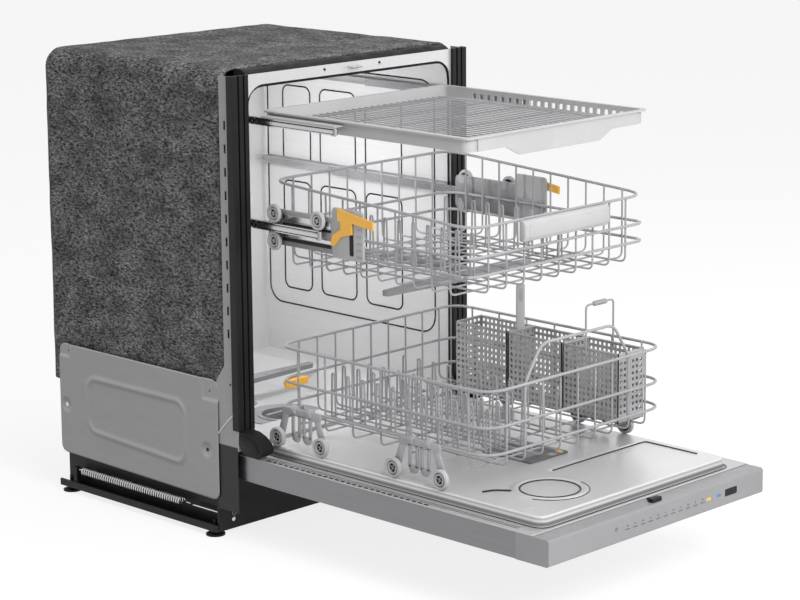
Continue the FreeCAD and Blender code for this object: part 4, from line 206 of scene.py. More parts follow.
def brushed(
    name, colour, roughness=0.30, scale=(6, 900, 900), metallic=1.0, depth=0.05, contrast=0.06, satin=0.05
):
    """Rolled or brushed sheet: long fine streaks along one axis."""
    material, tree, shader = tree_of(name)
    streak = noise(tree, object_space(tree, scale), 1.0, 4.0, 0.6)
    cloud = noise(tree, object_space(tree), 3.0, 3.0)
    even = span(tree, cloud, roughness - 0.03, roughness + 0.03)
    rough = worked_out(tree, "ADD", span(tree, streak, -satin, satin), even)
    fill(
        tree, shader, Base_Color=two_tones(tree, streak, colour, contrast), Roughness=rough, Metallic=metallic
    )
    add_bump(tree, shader, streak, depth, 0.0002)
    return material


def multiply_colour(material, factor):
    """Multiplies a finish's colour by what one of its nodes gives."""
    tree = material.node_tree
    colour = tree.nodes["Principled BSDF"].inputs["Base Color"]
    product = feature(tree, "ShaderNodeMix", data_type="RGBA", blend_type="MULTIPLY")
    product.inputs[0].default_value = 1.0
    tree.links.new(colour.links[0].from_socket, product.inputs[6])
    tree.links.new(factor, product.inputs[7])
    tree.links.new(product.outputs[2], colour)
    return material


def lit_from_above(material):
    """Lightens what leans up and darkens what leans down, as under a wide ceiling light."""
    tree = material.node_tree
    normal = tree.nodes.new("ShaderNodeNewGeometry").outputs["Normal"]
    lean = feature(tree, "ShaderNodeSeparateXYZ", Vector=normal)
    return multiply_colour(material, span(tree, lean.outputs["Z"], 0.5, 1.5, -0.4, 0.4))


def darkened_by_height(material, stops):
    """Darkens a finish by height: each stop is a height in mm and the share of the colour left there."""
    tree = material.node_tree
    place = feature(tree, "ShaderNodeSeparateXYZ", Vector=object_space(tree))
    low, high = stops[0][0], stops[-1][0]
    ramp = tree.nodes.new("ShaderNodeValToRGB")
    while len(ramp.color_ramp.elements) < len(stops):
        ramp.color_ramp.elements.new(0.5)
    for mark, (height, left) in zip(ramp.color_ramp.elements, stops):
        mark.position = (height - low) / (high - low)
        mark.color = (left, left, left, 1)
    tree.links.new(span(tree, place.outputs["Z"], 0, 1, low * 0.001, high * 0.001), ramp.inputs[0])
    return multiply_colour(material, ramp.outputs["Color"])


def felted(name, ground, fleck):
    """Bitumen-felt insulation: matted dark fibres with light flecks, drawn out along the sheet."""
    material, tree, shader = tree_of(name)
    grain = noise(tree, object_space(tree, (1, 0.42, 1), (0.1, 0.05, 0.08)), 290.0, 9.0, 0.76)
    flecks = noise(tree, object_space(tree, (1, 0.26, 1), (0.5, 0.1, 0.2)), 520.0, 3.0, 0.6)
    patches = noise(tree, object_space(tree, (1, 0.6, 1)), 24.0, 4.0, 0.6)
    tone = span(tree, grain, 0, 0.62, 0.42, 0.66)
    for kind, other in (
        ("ADD", span(tree, flecks, 0, 0.7, 0.60, 0.76)),
        ("MULTIPLY", span(tree, patches, 0.6, 1.3, 0.36, 0.64))
    ):
        tone = worked_out(tree, kind, tone, other)
    fill(
        tree, shader, Base_Color=blend_colours(tree, tone, ground, fleck), Roughness=0.92,
        Specular_IOR_Level=0.15
    )
    add_bump(tree, shader, grain, 0.6, 0.002)
    return material


def finishes():
    """Every finish by the record's slot name, and a few more for single pieces."""
    colours = bpy.context.scene.dishwasher_colours
    pick = {key: tuple(getattr(colours, key)) for key in FinishColours.__annotations__}
    plastics = {
        "black_moulding": (pick["black"], 0.42, 1100.0, 0.10, 0.10, 0.2),
        "rubber": ((0.012, 0.012, 0.013, 1), 0.6, 500.0, 0.15, 0.10, 0.2),
        "inner_plastic": (shade(pick["grey"], 0.7), 0.45),
        "dispenser_grey": (shade(pick["grey"], 0.36), 0.45),
        "lid_grey": (shade(pick["grey"], 0.62), 0.45),
        "control_grey": (pick["control"], 0.34, 1400.0, 0.05, 0.03),
        "pale_plastic": (pick["pale"], 0.40, 900.0, 0.08, 0.05),
        "nylon_wire": (pick["wire"], 0.36, 700.0, 0.10, 0.08),
        "grey_plastic": (pick["grey"], 0.42),
        "amber_plastic": (pick["amber"], 0.40, 900.0, 0.08, 0.05),
        "basket_plastic": (pick["basket"], 0.42),
        "wheel_tyre": (pick["tyre"], 0.48),
        "mark_dark": ((0.09, 0.09, 0.095, 1), 0.5),
        "mark_blue": ((0.05, 0.16, 0.40, 1), 0.5),
    }
    sheets = {
        "stainless": (pick["steel"], 0.34, (240, 5, 240), 0.5, 0.0, 0.02, 0.0),
        "liner_steel": (shade(pick["steel"], 1.04), 0.30, (5, 240, 240), 0.5, 0.0, 0.02, 0.0),
        # painted shade: a nearly black copy of the tub steel, for wires that stand for shade and dark
        # reflections along pressed edges
        "seam_steel": (shade(pick["steel"], 0.03), 0.30, (60, 60, 60), 0.3),
        "post_steel": (pick["zinc"], 0.40, (900, 12, 60), 0.35, 0.04, 0.03, 0.024),
        "zinc_steel": (pick["zinc"], 0.40, (900, 12, 60), 0.35, 0.04, 0.03, 0.024),
        "bright_steel": ((0.62, 0.62, 0.63, 1), 0.2, (40, 40, 40)),
        "rail_steel": ((0.55, 0.55, 0.56, 1), 0.16, (900, 5, 900)),
        "door_steel": (pick["door"], 0.36, (900, 5, 900), 0.9),
    }
    made = {name: moulded(name, *values) for name, values in plastics.items()}
    made.update({name: brushed(name, *values) for name, values in sheets.items()})
    made["felt"] = felted("felt", pick["felt"], pick["fleck"])
    lit_from_above(made["zinc_steel"])
    # the posts' finish is nearly black below 182 mm and keeps its colour from 184 mm up
    darkened_by_height(made["post_steel"], [(182, 0.04), (184, 1.0)])
    # painted shade: two dark bands up the liner's pressed wall stand for its shadow and dark reflections
    painted_shade_bands = [(167, 0.80), (169.5, 0.30), (173, 0.22), (177, 0.95), (180.5, 0.50), (183.2, 1.0), (188, 1.0)]
    darkened_by_height(made["liner_steel"], painted_shade_bands)
    return made


FINISH = {}
SPLIT_FINISHES = {
    "door_latch": "black_moulding", "front_posts": "post_steel",
    "dispenser_body": "dispenser_grey", "dispenser_lid": "lid_grey",
}
SOFT_EDGES = {
    "edge_trims": 0.8, "base_pan": 0.8, "levelling_feet": 0.8, "front_posts": 0.3,
    "upper_rails": 0.4, "third_rails": 0.4, "rail_guides": 0.6, "control_panel": 0.8,
    "door_latch": 0.8, "dispenser_lid": 0.8, "rinse_aid_cap": 0.6, "rack_hangers": 0.6,
    "adjuster_levers": 0.8, "third_tray": 0.7, "lower_spray_arm": 0.8, "middle_spray_arm": 0.8,
    "top_spray_arm": 0.8, "upper_feed_tube": 0.6, "drain_spigot": 0.6,
}  # widths of the bevels in mm


def paint(node, name):
    """Gives a CAD node one finish."""
    data = NODES[node].data
    data.materials.clear()
    data.materials.append(FINISH[name])


class DISHWASHER_OT_finishes(Operator):
    """Makes the finishes and paints the CAD nodes that stay in view"""
    bl_idname = "dishwasher.finishes"
    bl_label = "Finishes"

    def execute(self, context):
        FINISH.update(finishes())
        TREES.update(wires=wire_tree(), coils=coil_tree(), rows=row_tree())
        for entry in frame["record"]["subparts"]:
            paint(entry["node"], entry["material_slot"])
        for node, finish in SPLIT_FINISHES.items():
            paint(node, finish)
        for node, width in SOFT_EDGES.items():
            soften(node, width)
        return {"FINISHED"}


# Mesh tools

def at(axis, depth, first, second):
    """A point of an outline that lies across an axis."""
    if axis == "X":
        return spot(depth, first, second)
    if axis == "Y":
        return spot(first, depth, second)
    return spot(first, second, depth)


def placed(name, data):
    """A new object in the scene."""
    made = bpy.data.objects.new(name, data)
    bpy.context.scene.collection.objects.link(made)
    return made


def as_mesh(form, angle=0.6):
    """The finished mesh of a form, smooth except at edges sharper than the angle."""
    bmesh.ops.recalc_face_normals(form, faces=form.faces)
    data = bpy.data.meshes.new("form")
    form.to_mesh(data)
    form.free()
    for polygon in data.polygons:
        polygon.use_smooth = True
    data.set_sharp_from_angle(angle=angle)
    return data


def block(outline, axis, start, end, bevel=0.0, segments=2):
    """A prism on an outline across an axis, with rounded edges."""
    form = bmesh.new()
    near = [form.verts.new(at(axis, start, *point)) for point in outline]
    far = [form.verts.new(at(axis, end, *point)) for point in outline]
    form.faces.new(near)
    form.faces.new(list(reversed(far)))
    for k in range(len(outline)):
        form.faces.new((near[k - 1], near[k], far[k], far[k - 1]))
    bmesh.ops.recalc_face_normals(form, faces=form.faces)
    if bevel:
        bmesh.ops.bevel(
            form, geom=form.edges[:], offset=bevel / 1000, segments=segments, profile=0.5, affect="EDGES",
            clamp_overlap=True
        )
    return as_mesh(form)


def oblong(left, low, right, high, corner, steps=4):
    """A rectangle with round corners."""
    points = []
    for x, y, first in (
        (right - corner, high - corner, 0), (left + corner, high - corner, 90),
        (left + corner, low + corner, 180), (right - corner, low + corner, 270)
    ):
        points += arc(x, y, corner, [math.radians(first + 90 * k / steps) for k in range(steps + 1)])
    return points


def box(left, low, right, high):
    """The corners of a rectangle."""
    return [(left, low), (right, low), (right, high), (left, high)]


def arc(x, y, radius, angles):
    """Points on a circle at given angles."""
    return [(x + radius * math.cos(angle), y + radius * math.sin(angle)) for angle in angles]


def disc(x, y, radius, steps=24):
    """Points all round a circle."""
    return arc(x, y, radius, [2 * math.pi * k / steps for k in range(steps)])


def skin(form, grid):
    """Faces between the neighbouring rows of a grid of corners."""
    for row, following in zip(grid, grid[1:]):
        for k in range(1, len(row)):
            form.faces.new((row[k - 1], row[k], following[k], following[k - 1]))


def sleeve(form, rings, closed=False):
    """Faces between neighbouring rings of corners, with an end on each side unless it closes on itself."""
    for ring, following in zip(rings, rings[1:] + rings[:1] if closed else rings[1:]):
        for k in range(len(ring)):
            form.faces.new((ring[k - 1], ring[k], following[k], following[k - 1]))
    if not closed:
        form.faces.new(rings[0])
        form.faces.new(list(reversed(rings[-1])))


def turned(profile, axis, first, second, sides=40, closed=False):
    """A turned form from pairs of place along the axis and radius; a closed one is a ring."""
    form = bmesh.new()
    rings = []
    for along, radius in profile:
        rings.append([
            form.verts.new(at(axis, along, *point)) for point in disc(first, second, max(radius, 0.05), sides)
        ])
    sleeve(form, rings, closed)
    return as_mesh(form, 0.5)


def thickened(data, thickness):
    """The sheet given a thickness on its inner side."""
    carrier = placed("carrier", data)
    solid = carrier.modifiers.new("thickness", "SOLIDIFY")
    solid.thickness = thickness
    solid.offset = -1
    graph = bpy.context.evaluated_depsgraph_get()
    made = bpy.data.meshes.new_from_object(carrier.evaluated_get(graph))
    bpy.data.objects.remove(carrier)
    bpy.data.meshes.remove(data)
    return made


def mirrored(data):
    """The same mesh on the other side of the machine."""
    copy = data.copy()
    copy.transform(Matrix.Scale(-1, 4, (1, 0, 0)))
    copy.flip_normals()
    return copy


class Parts(list):
    """Meshes, each with its finish."""

    def block(self, finish, *values):
        """Adds a prism."""
        self.append((block(*values), finish))

    def turned(self, finish, *values, **options):
        """Adds a turned form."""
        self.append((turned(*values, **options), finish))


def both(parts):
    """The parts and their mirror images."""
    return parts + [(mirrored(data), finish) for data, finish in parts]


def piece(name, parts, body, slot, *nodes):
    """One object from several meshes, each in its finish, that rides on a body and stands for CAD nodes."""
    data = bpy.data.meshes.new(name)
    whole = bmesh.new()
    used = []
    for part, finish in parts:
        if finish not in used:
            used.append(finish)
            data.materials.append(FINISH[finish])
        before = len(whole.faces)
        whole.from_mesh(part)
        whole.faces.ensure_lookup_table()
        for face in whole.faces[before:]:
            face.material_index = used.index(finish)
        bpy.data.meshes.remove(part)
    whole.to_mesh(data)
    whole.free()
    made = placed(name, data)
    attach(made, body)
    if nodes:
        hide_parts(*nodes)
    return made


def soften(node, width):
    """Rounds the sharp edges of a CAD node that stays in view."""
    bevel = NODES[node].modifiers.new("soft edges", "BEVEL")
    bevel.width = width / 1000
    bevel.segments = 2
    bevel.limit_method = "ANGLE"
    bevel.angle_limit = math.radians(50)
    bevel.harden_normals = False


# Node trees for what repeats or follows a path

def start_tree(name, sockets):
    """A geometry tree with its named inputs, ready for its nodes."""
    tree = bpy.data.node_groups.new(name, "GeometryNodeTree")
    tree.interface.new_socket("Geometry", in_out="INPUT", socket_type="NodeSocketGeometry")
    for label, kind in sockets:
        tree.interface.new_socket(label, in_out="INPUT", socket_type=kind)
    tree.interface.new_socket("Geometry", in_out="OUTPUT", socket_type="NodeSocketGeometry")
    return tree, tree.nodes.new("NodeGroupInput").outputs


def end_tree(tree, given, geometry):
    """Ends a tree in smooth shading, real geometry and one finish."""
    smooth = feature(tree, "GeometryNodeSetShadeSmooth", Geometry=geometry)
    real = feature(tree, "GeometryNodeRealizeInstances", Geometry=smooth.outputs["Geometry"])
    finish = feature(
        tree, "GeometryNodeSetMaterial", Geometry=real.outputs["Geometry"], Material=given["Finish"]
    )
    feature(tree, "NodeGroupOutput", Geometry=finish.outputs["Geometry"])
    return tree


def tube_on(tree, given, curve):
    """Draws a round section along a curve."""
    ring = feature(
        tree, "GeometryNodeCurvePrimitiveCircle", Radius=given["Radius"], Resolution=given["Sides"]
    )
    section = ring.outputs["Curve"]
    tube = feature(tree, "GeometryNodeCurveToMesh", Curve=curve, Profile_Curve=section, Fill_Caps=True)
    return tube.outputs["Mesh"]


SECTION = (("Radius", "NodeSocketFloat"), ("Sides", "NodeSocketInt"), ("Finish", "NodeSocketMaterial"))


def wire_tree():
    """Round wires along the edges of a skeleton."""
    tree, given = start_tree("rack wires", SECTION)
    curve = feature(tree, "GeometryNodeMeshToCurve", Mesh=given["Geometry"])
    return end_tree(tree, given, tube_on(tree, given, curve.outputs["Curve"]))


def coil_tree():
    """A round wire wound into coils up the Z axis."""
    sizes = tuple((label, "NodeSocketFloat") for label in ("Turns", "Coil", "Length"))
    tree, given = start_tree("spring coils", SECTION + sizes)
    spiral = feature(
        tree, "GeometryNodeCurveSpiral", Resolution=18, Rotations=given["Turns"], Height=given["Length"]
    )
    fill(tree, spiral, Start_Radius=given["Coil"], End_Radius=given["Coil"])
    return end_tree(tree, given, tube_on(tree, given, spiral.outputs["Curve"]))


def row_tree():
    """Copies of a form in a straight row."""
    sockets = (("Count", "NodeSocketInt"), ("Step", "NodeSocketVector"), ("Finish", "NodeSocketMaterial"))
    tree, given = start_tree("straight rows", sockets)
    line = feature(tree, "GeometryNodeMeshLine", Count=given["Count"], Offset=given["Step"])
    copies = feature(
        tree, "GeometryNodeInstanceOnPoints", Points=line.outputs["Mesh"], Instance=given["Geometry"]
    )
    return end_tree(tree, given, copies.outputs["Instances"])


TREES = {}


def grown(kind, source, finish, **values):
    """The plain mesh that a tree makes from a source mesh."""
    values["Finish"] = FINISH[finish]
    carrier = placed("carrier", source)
    modifier = carrier.modifiers.new("nodes", "NODES")
    modifier.node_group = TREES[kind]
    for item in TREES[kind].interface.items_tree:
        if item.in_out == "INPUT" and item.name in values:
            modifier[item.identifier] = values[item.name]
    graph = bpy.context.evaluated_depsgraph_get()
    data = bpy.data.meshes.new_from_object(carrier.evaluated_get(graph))
    carrier.modifiers.clear()
    bpy.data.objects.remove(carrier)
    bpy.data.meshes.remove(source)
    return data


def lying(corners, z):
    """Points of a plan at one height."""
    return [(x, y, z) for x, y in corners]


def standing(corners, y):
    """Points of a front view at one depth."""
    return [(x, y, z) for x, z in corners]


def gate(half, low, high):
    """Corners up one side, across the top and down the other side."""
    return [(-half, low), (-half, high), (half, high), (half, low)]


def bent(points, bend, closed=False, steps=5):
    """A wire's line with its corners bent round."""
    points = [Vector(point) for point in points]
    count = len(points)
    line = []
    for k, here in enumerate(points):
        if not closed and k in (0, count - 1):
            line.append(here)
            continue
        back = points[k - 1] - here
        ahead = points[(k + 1) % count] - here
        reach = min(bend, 0.48 * back.length, 0.48 * ahead.length)
        start = here + back.normalized() * reach
        end = here + ahead.normalized() * reach
        for step in range(steps + 1):
            share = step / steps
            line.append(start * (1 - share) ** 2 + here * (2 * share * (1 - share)) + end * share ** 2)
    return line, closed


def wires(lines, radius, finish, sides=10):
    """Round wires along lines in millimetres."""
    corners = []
    edges = []
    for line, closed in lines:
        first = len(corners)
        corners += [spot(*point) for point in line]
        edges += [(k, k + 1) for k in range(first, len(corners) - 1)]
        if closed:
            edges.append((len(corners) - 1, first))
    skeleton = bpy.data.meshes.new("skeleton")
    skeleton.from_pydata(corners, edges, [])
    return grown("wires", skeleton, finish, Radius=radius / 1000, Sides=sides), finish


def spread(low, high, count):
    """Equally spaced values, both ends among them."""
    return [low + (high - low) * k / (count - 1) for k in range(count)]


# Insulation and seals

class DISHWASHER_OT_insulation(Operator):
    """Makes the felt blanket, the top strip, the gasket and the corner seals"""
    bl_idname = "dishwasher.insulation"
    bl_label = "Insulation and seals"

    def execute(self, context):
        piece("felt_blanket", [(self.blanket(), "felt")], "cabinet", "felt", "insulation_blanket")
        piece("counter_strip", [(self.strip(), "rubber")], "cabinet", "rubber", "top_seal_strip")
        mouth = wires([bent(standing(gate(259.8, 189.5, 835.5), 10), 38)], 2.4, "rubber", 12)
        lip = wires([bent(standing(gate(258.6, 189.5, 834.3), 7.2), 37)], 1.1, "rubber", 8)
        piece("mouth_gasket", [mouth, lip], "cabinet", "rubber", "door_gasket")
        fan = [
            (6, 215), (6, 188), (-2, 175), (-12, 172), (-42, 172), (-52, 177), (-56, 186), (-50, 197),
            (-36, 207), (-20, 213)
        ]
        lobe = [(2, 208), (2, 190), (-6, 179), (-38, 178), (-47, 184), (-44, 194), (-32, 202), (-14, 208)]
        corner = Parts()
        corner.block("rubber", fan, "X", -297.5, -266, 3.0, 3)
        corner.block("rubber", lobe, "X", -299.8, -297, 1.2)
        piece("door_corner_seals", both(corner), "cabinet", "rubber", "corner_seals")
        return {"FINISHED"}

    def blanket(self):
        """A thick felt sheet folded round the tub and over its back, uneven to the touch."""
        half, top, front, rear, bend = 296.0, 870.0, 42.0, 563.0, 34.0
        rows = [(y, 0.0) for y in spread(front, rear - bend, 30)]
        rows += [
            (rear - bend + bend * math.sin(angle), bend * (1 - math.cos(angle)))
            for angle in spread(0.25, math.pi / 2, 6)
        ]
        rows += [(rear, inset) for inset in spread(bend + 14, half - 0.5, 16)]
        form = bmesh.new()
        grid = [
            [
                form.verts.new(spot(x, y, z))
                for x, z in self.arch(half - inset, top - inset, min(bend, half - inset))
            ]
            for y, inset in rows
        ]
        skin(form, grid)
        form.normal_update()
        fine, coarse, sunk = 0.0011, 0.0014, 0.0016  # heights of the lumps in metres
        lumps = [(vert, lump(vert.co * 26) * fine + lump(vert.co * 7) * coarse) for vert in form.verts]
        for vert, lift in lumps:
            vert.co -= vert.normal * (sunk - lift)
        return thickened(as_mesh(form, 1.2), 0.005)

    def arch(self, half, top, bend):
        """Points up the left side, over the top and down the right side."""
        side = [(-half, z) for z in spread(224, top - bend, 36)]
        turn = [
            (-half + bend - bend * math.cos(angle), top - bend + bend * math.sin(angle))
            for angle in spread(0.26, math.pi / 2, 6)
        ]
        left = side + turn
        middle = [(x, top) for x in spread(-half + bend, half - bend, 34)[1:-1]]
        return left + middle + [(-x, z) for x, z in reversed(left)]

    def strip(self):
        """A soft strip whose top edge waves a little along the counter."""
        low, tall = 848, 19
        section = [
            (7.5, low), (41, low), (41, 865.5), (36, 866.8), (24, 866.8), (19, 865.6), (9.5, 859.5),
            (7.5, 857.5)
        ]
        form = bmesh.new()
        rings = []
        for x in spread(-261, 261, 90):
            wave = 0.9 * math.sin(x * 0.055) + 0.6 * math.sin(x * 0.131 + 1)
            rings.append([
                form.verts.new(spot(x, y, z - (wave + 1.6) * (z - low) / tall)) for y, z in section
            ])
        sleeve(form, rings)
        return as_mesh(form, 0.7)


# Tub walls

class DISHWASHER_OT_tub(Operator):
    """Lines the tub's side walls with sheets whose pressed panels have dark wires along their edges as
    painted shade
    """
    bl_idname = "dishwasher.tub"
    bl_label = "Tub walls"

    def execute(self, context):
        sheet = block(oblong(22, 198, 541, 806, 12), "X", -272.6, -272.9)
        panels = [(60, 288, 538, 790, 36)]
        for front, rear in ((411, 492), (280, 382), (150, 251)):
            panels += [(front, 322, rear, 548, 16), (front, 584, rear, 746, 16)]
        # painted shade: dark wires round the pressed panels stand for the shade and dark reflections at their
        # edges
        lines = [([(-273, *point) for point in oblong(*panel, 8)], True) for panel in panels]
        piece(
            "pressed_walls", both([(sheet, "stainless"), wires(lines, 1.9, "seam_steel", 8)]), "cabinet",
            "stainless"
        )
        return {"FINISHED"}


# Side covers

class DISHWASHER_OT_covers(Operator):
    """Presses the two side covers with their bead, corner tabs and screw dimples"""
    bl_idname = "dishwasher.covers"
    bl_label = "Side covers"

    def execute(self, context):
        parts = Parts([(self.sheet(), "zinc_steel")])
        parts.turned(
            "bright_steel", [(-298.6, 4.4), (-299.8, 4.4), (-300.6, 3.2), (-300.7, 0)], "X", 500, 178, 20
        )
        for y, z, radius in ((90, 165, 3.6), (491, 286, 1.8), (81, 277, 1.8)):
            parts.block("black_moulding", disc(y, z, radius, 16), "X", -298.6, -299.2)
        for y, z in ((23.6, 298), (18, 269)):
            parts.block("black_moulding", disc(y, z, 2.4, 16), "X", -298.5, -299.0)
        rod = [(-299.6, y, z) for y, z in ((60, 200), (36, 226), (11, 248))]
        parts.append(wires([bent(rod, 8)], 1.1, "bright_steel", 8))
        slot = arc(-256, 0, 3.4, spread(0.01, 2 * math.pi - 0.2, 24))
        kick = [(x, 69.8, z + (38 if z < 0 else 84)) for x, z in slot]
        parts.append(wires([(kick, True)], 0.8, "zinc_steel", 6))
        parts.turned("bright_steel", [(70.2, 4.2), (69.4, 4.2), (68.8, 3.2), (68.7, 0)], "Y", -257, 28, 20)
        piece("pressed_covers", both(parts), "cabinet", "zinc_steel", "side_covers", "cover_screws")
        return {"FINISHED"}

    def rise(self, y, z):
        """How far the sheet stands out at a place on it."""
        middle, half, high, bend = 292, 142, 243, 26
        low = 126 + (y - 148) * 0.045  # the bead's lower edge slopes
        across = abs(y - middle) - half + bend
        along = abs(z - (low + high) / 2) - (high - low) / 2 + bend
        edge = math.hypot(max(across, 0), max(along, 0)) + min(max(across, along), 0) - bend
        tall = 2.0 * math.exp(-(edge / 5.0) ** 2)
        for dimple, level, reach in ((500, 178, 15), (90, 165, 15)):
            tall -= 2.3 * min(max((reach - math.hypot(y - dimple, z - level)) / 7, 0), 1)
        for corner, level, wide in ((519, 273, 33), (57, 259, 44)):
            inside = min(wide - abs(y - corner), z - level)
            tall -= 2.2 * min(max(inside / 4, 0), 1)
        return tall

    def sheet(self):
        """A sheet with round corners, finely divided so that the pressing shows."""
        front, rear, top, corner = 57.5, 518.5, 299.5, 16
        middle, half = (front + rear) / 2, (rear - front) / 2
        form = bmesh.new()
        grid = []
        for share in spread(0, 1, 80):
            points = []
            for y in spread(front, rear, 150):
                low = 74.5 + (y - front) * 0.017
                z = low + (top - low) * share
                near = min(top - z, z - low)
                cut = corner - math.sqrt(max(corner ** 2 - (corner - near) ** 2, 0)) if near < corner else 0
                y = middle + (y - middle) * (half - cut) / half
                points.append(form.verts.new(spot(-301.2 - self.rise(y, z), y, z)))
            grid.append(points)
        skin(form, grid)
        return thickened(as_mesh(form, 1.2), 0.001)


# Rails

class DISHWASHER_OT_rails(Operator):
    """Adds the dark races and the end brackets of the telescopic rails"""
    bl_idname = "dishwasher.rails"
    bl_label = "Rails"

    def execute(self, context):
        for name, body, front, low, high in (
            ("upper", "upper_slides", -165, 582, 597), ("third", "third_slides", -207, 770, 783)
        ):
            parts = Parts()
            for z in (low + 2.6, high - 2.6):
                parts.block(
                    "black_moulding", oblong(front + 2, z - 0.8, -22, z + 0.8, 0.6), "X", -253.12, -252.5
                )
            cap = oblong(front - 3, low - 1.5, front + 9, high - 0.4, 2.5)
            parts.block("pale_plastic", cap, "X", -253.1, -249.5, 0.8)
            piece(f"{name}_rail_races", both(parts), body, "rail_steel")
        return {"FINISHED"}


# Door springs

class DISHWASHER_OT_springs(Operator):
    """Winds the two door springs with their straight ends"""
    bl_idname = "dishwasher.springs"
    bl_label = "Door springs"

    def execute(self, context):
        sizes = context.scene.dishwasher_racks
        coil = grown(
            "coils", bpy.data.meshes.new("empty"), "bright_steel", Radius=0.0014, Sides=8,
            Turns=float(sizes.spring_turns), Coil=0.0070, Length=0.292
        )
        coil.transform(Matrix.Translation(spot(-290, 176, 48)) @ Matrix.Rotation(-math.pi / 2, 4, "X"))
        ends = []
        for reach in ((177, 172, 166, 152), (467, 472, 477, 484)):
            ends.append(bent([(x, y, 48) for x, y in zip((-282.8, -283.4, -289.6, -290), reach)], 4))
        piece(
            "wound_door_springs", both([(coil, "bright_steel"), wires(ends, 1.25, "bright_steel", 8)]),
            "cabinet", "bright_steel", "door_springs"
        )
        return {"FINISHED"}


# Door

class DISHWASHER_OT_door(Operator):
    """Presses the door liner and adds the controls, rim slots and dispenser details"""
    bl_idname = "dishwasher.door"
    bl_label = "Door"

    def execute(self, context):
        slot = block(oblong(-283.5, -62, -278.5, -52, 2), "Z", 167.2, 167.8)
        dashes = grown("rows", slot, "black_moulding", Count=28, Step=(0, -0.0145, 0))
        # painted shade: the dark wires added to the liner stand for shade along its pressed lines
        piece(
            "pressed_liner", [(self.liner(), "liner_steel"), (dashes, "black_moulding")] + self.seams(),
            "door", "stainless", "door_liner"
        )
        piece("touch_controls", self.controls(), "door", "control_grey")
        parts = Parts()
        parts.turned("amber_plastic", [(187.9, 5), (190.4, 5), (190.9, 4.2), (190.9, 0)], "Z", 62, -447)
        ring = [(187.9, 7.4), (189.2, 7.4), (189.6, 6.8), (189.2, 5.6), (187.9, 5.6)]
        parts.turned("pale_plastic", ring, "Z", 62, -447, closed=True)
        for y in (-454, -449, -444):
            parts.block("pale_plastic", oblong(34, y, 50, y + 2, 0.9), "Z", 187.9, 188.8, 0.3)
        piece("dispenser_button", parts, "door", "pale_plastic")
        return {"FINISHED"}

    def rise(self, x, y):
        """Height of the liner above the floor at a place on it."""
        inside = 24 - math.hypot(max(abs(x) - 228, 0), max(abs(y + 345) - 315, 0))
        share = min(max(inside / 7, 0), 1)
        swirl = abs(math.hypot(x + 114, y + 580) - 60)
        groove = min(
            math.hypot(min(max(x, -28), 232) - x, y + 505), math.hypot(x - 232, min(max(y, -630), -505) - y)
        )
        bead = math.exp(-(swirl / 5.5) ** 2) + math.exp(-(groove / 4.5) ** 2)
        rim, platform, proud = 167.3, 17.7, 2.4
        return rim + platform * share * share * (3 - 2 * share) + proud * min(bead, 1)

    def seams(self):
        """Painted shade: dark wires along the pressed lines, the wall's foot and the rim's grooves, where the
        sheet turns away from the light.
        """
        ring = lying(disc(-114, -580, 52, 48), 185.4)
        outer = lying(arc(-114, -580, 68, spread(math.radians(195), math.radians(350), 24)), 185.2)
        tail = bent(lying(((-206, -509), (-186, -516), (-168, -540)), 185), 12)
        corner = bent(lying(((-28, -511), (226, -511), (226, -630)), 185.4), 8)
        foot = bent(lying(gate(253.6, -12, -685.6), 167.6), 25)
        grooves = [([(x, -650, 167.4), (x, -16, 167.4)], False) for x in (-268, -274)]
        strokes = (
            ([(ring, True), corner], 1.7, 8), ([(outer, False), foot], 1.1, 8), ([tail], 2.6, 8),
            (grooves, 0.5, 6)
        )
        return [wires(lines, radius, "seam_steel", sides) for lines, radius, sides in strokes]

    def liner(self):
        """The pressed sheet, on a grid that is finest where it is steep."""
        xs = self.steps(-288, 288, (-248, 248), (-174, -54, 232))
        ys = self.steps(-695, 64, (-680, -10), (-640, -520, -505))
        form = bmesh.new()
        grid = [[form.verts.new(spot(x, y, self.rise(x, y))) for x in xs] for y in ys]
        skin(form, grid)
        return thickened(as_mesh(form, 1.2), 0.0009)

    def steps(self, low, high, steep, busy):
        """Grid lines, close together near the busy places and closest on the steep ones."""
        places = [low]
        while places[-1] < high:
            sharp = min(abs(places[-1] - place) for place in steep)
            near = min(abs(places[-1] - place) for place in busy)
            gap = 0.8 if sharp < 6 else 2.4 if near < 18 or sharp < 14 else 5.0
            places.append(min(places[-1] + gap, high))
        return places

    def controls(self):
        """Generic marks and a dark display on the door's end, with no words."""
        face, proud = -730.0, 0.12
        parts = Parts()
        parts.block("black_moulding", oblong(178, 137, 212, 150, 2.5), "Y", face - 0.25, face + 0.3)
        round_mark = arc(-117, 145, 3.4, [k * 0.785 for k in range(8)])
        ring = bent(standing(round_mark, face), 1.2, closed=True)
        parts.append(wires([ring, ([(-117, face, 145), (-117, face, 150)], False)], 0.45, "mark_dark", 6))
        for k, x in enumerate(spread(-88, 115, 11)):
            for outline in (oblong(x - 6, 139.2, x + 6, 141, 0.8), disc(x, 146, 1.5 if k % 2 else 2.0, 14)):
                parts.block("mark_dark", outline, "Y", face - proud, face + 0.3)
        for x, tone in ((132, "amber_plastic"), (161, "mark_blue")):
            parts.block(tone, oblong(x - 6, 140.6, x + 6, 145.4, 1.6), "Y", face - proud, face + 0.3)
        return parts


# Rack wires

RAIL_BEND = 46  # bend of the rails at a rack's corners, in mm
WIRE_BEND = 13  # bend of the thinner wires at its floor


def across(y, half, top, floor):
    """A wire down one side, across the floor and up the other side."""
    return bent(standing(gate(half, top, floor), y), WIRE_BEND)


def along(x, front, rear, front_top, rear_top, floor):
    """A wire down the front, along the floor and up the rear."""
    line = [(x, front, front_top), (x, front, floor), (x, rear, floor), (x, rear, rear_top)]
    return bent(line, WIRE_BEND)


def hairpin(x, y, foot, head, base, top):
    """A tine of two close wires that meet at the top."""
    return bent([(x, y - foot, base), (x, y - head, top), (x, y + head, top), (x, y + foot, base)], 3.0)


# Lower rack

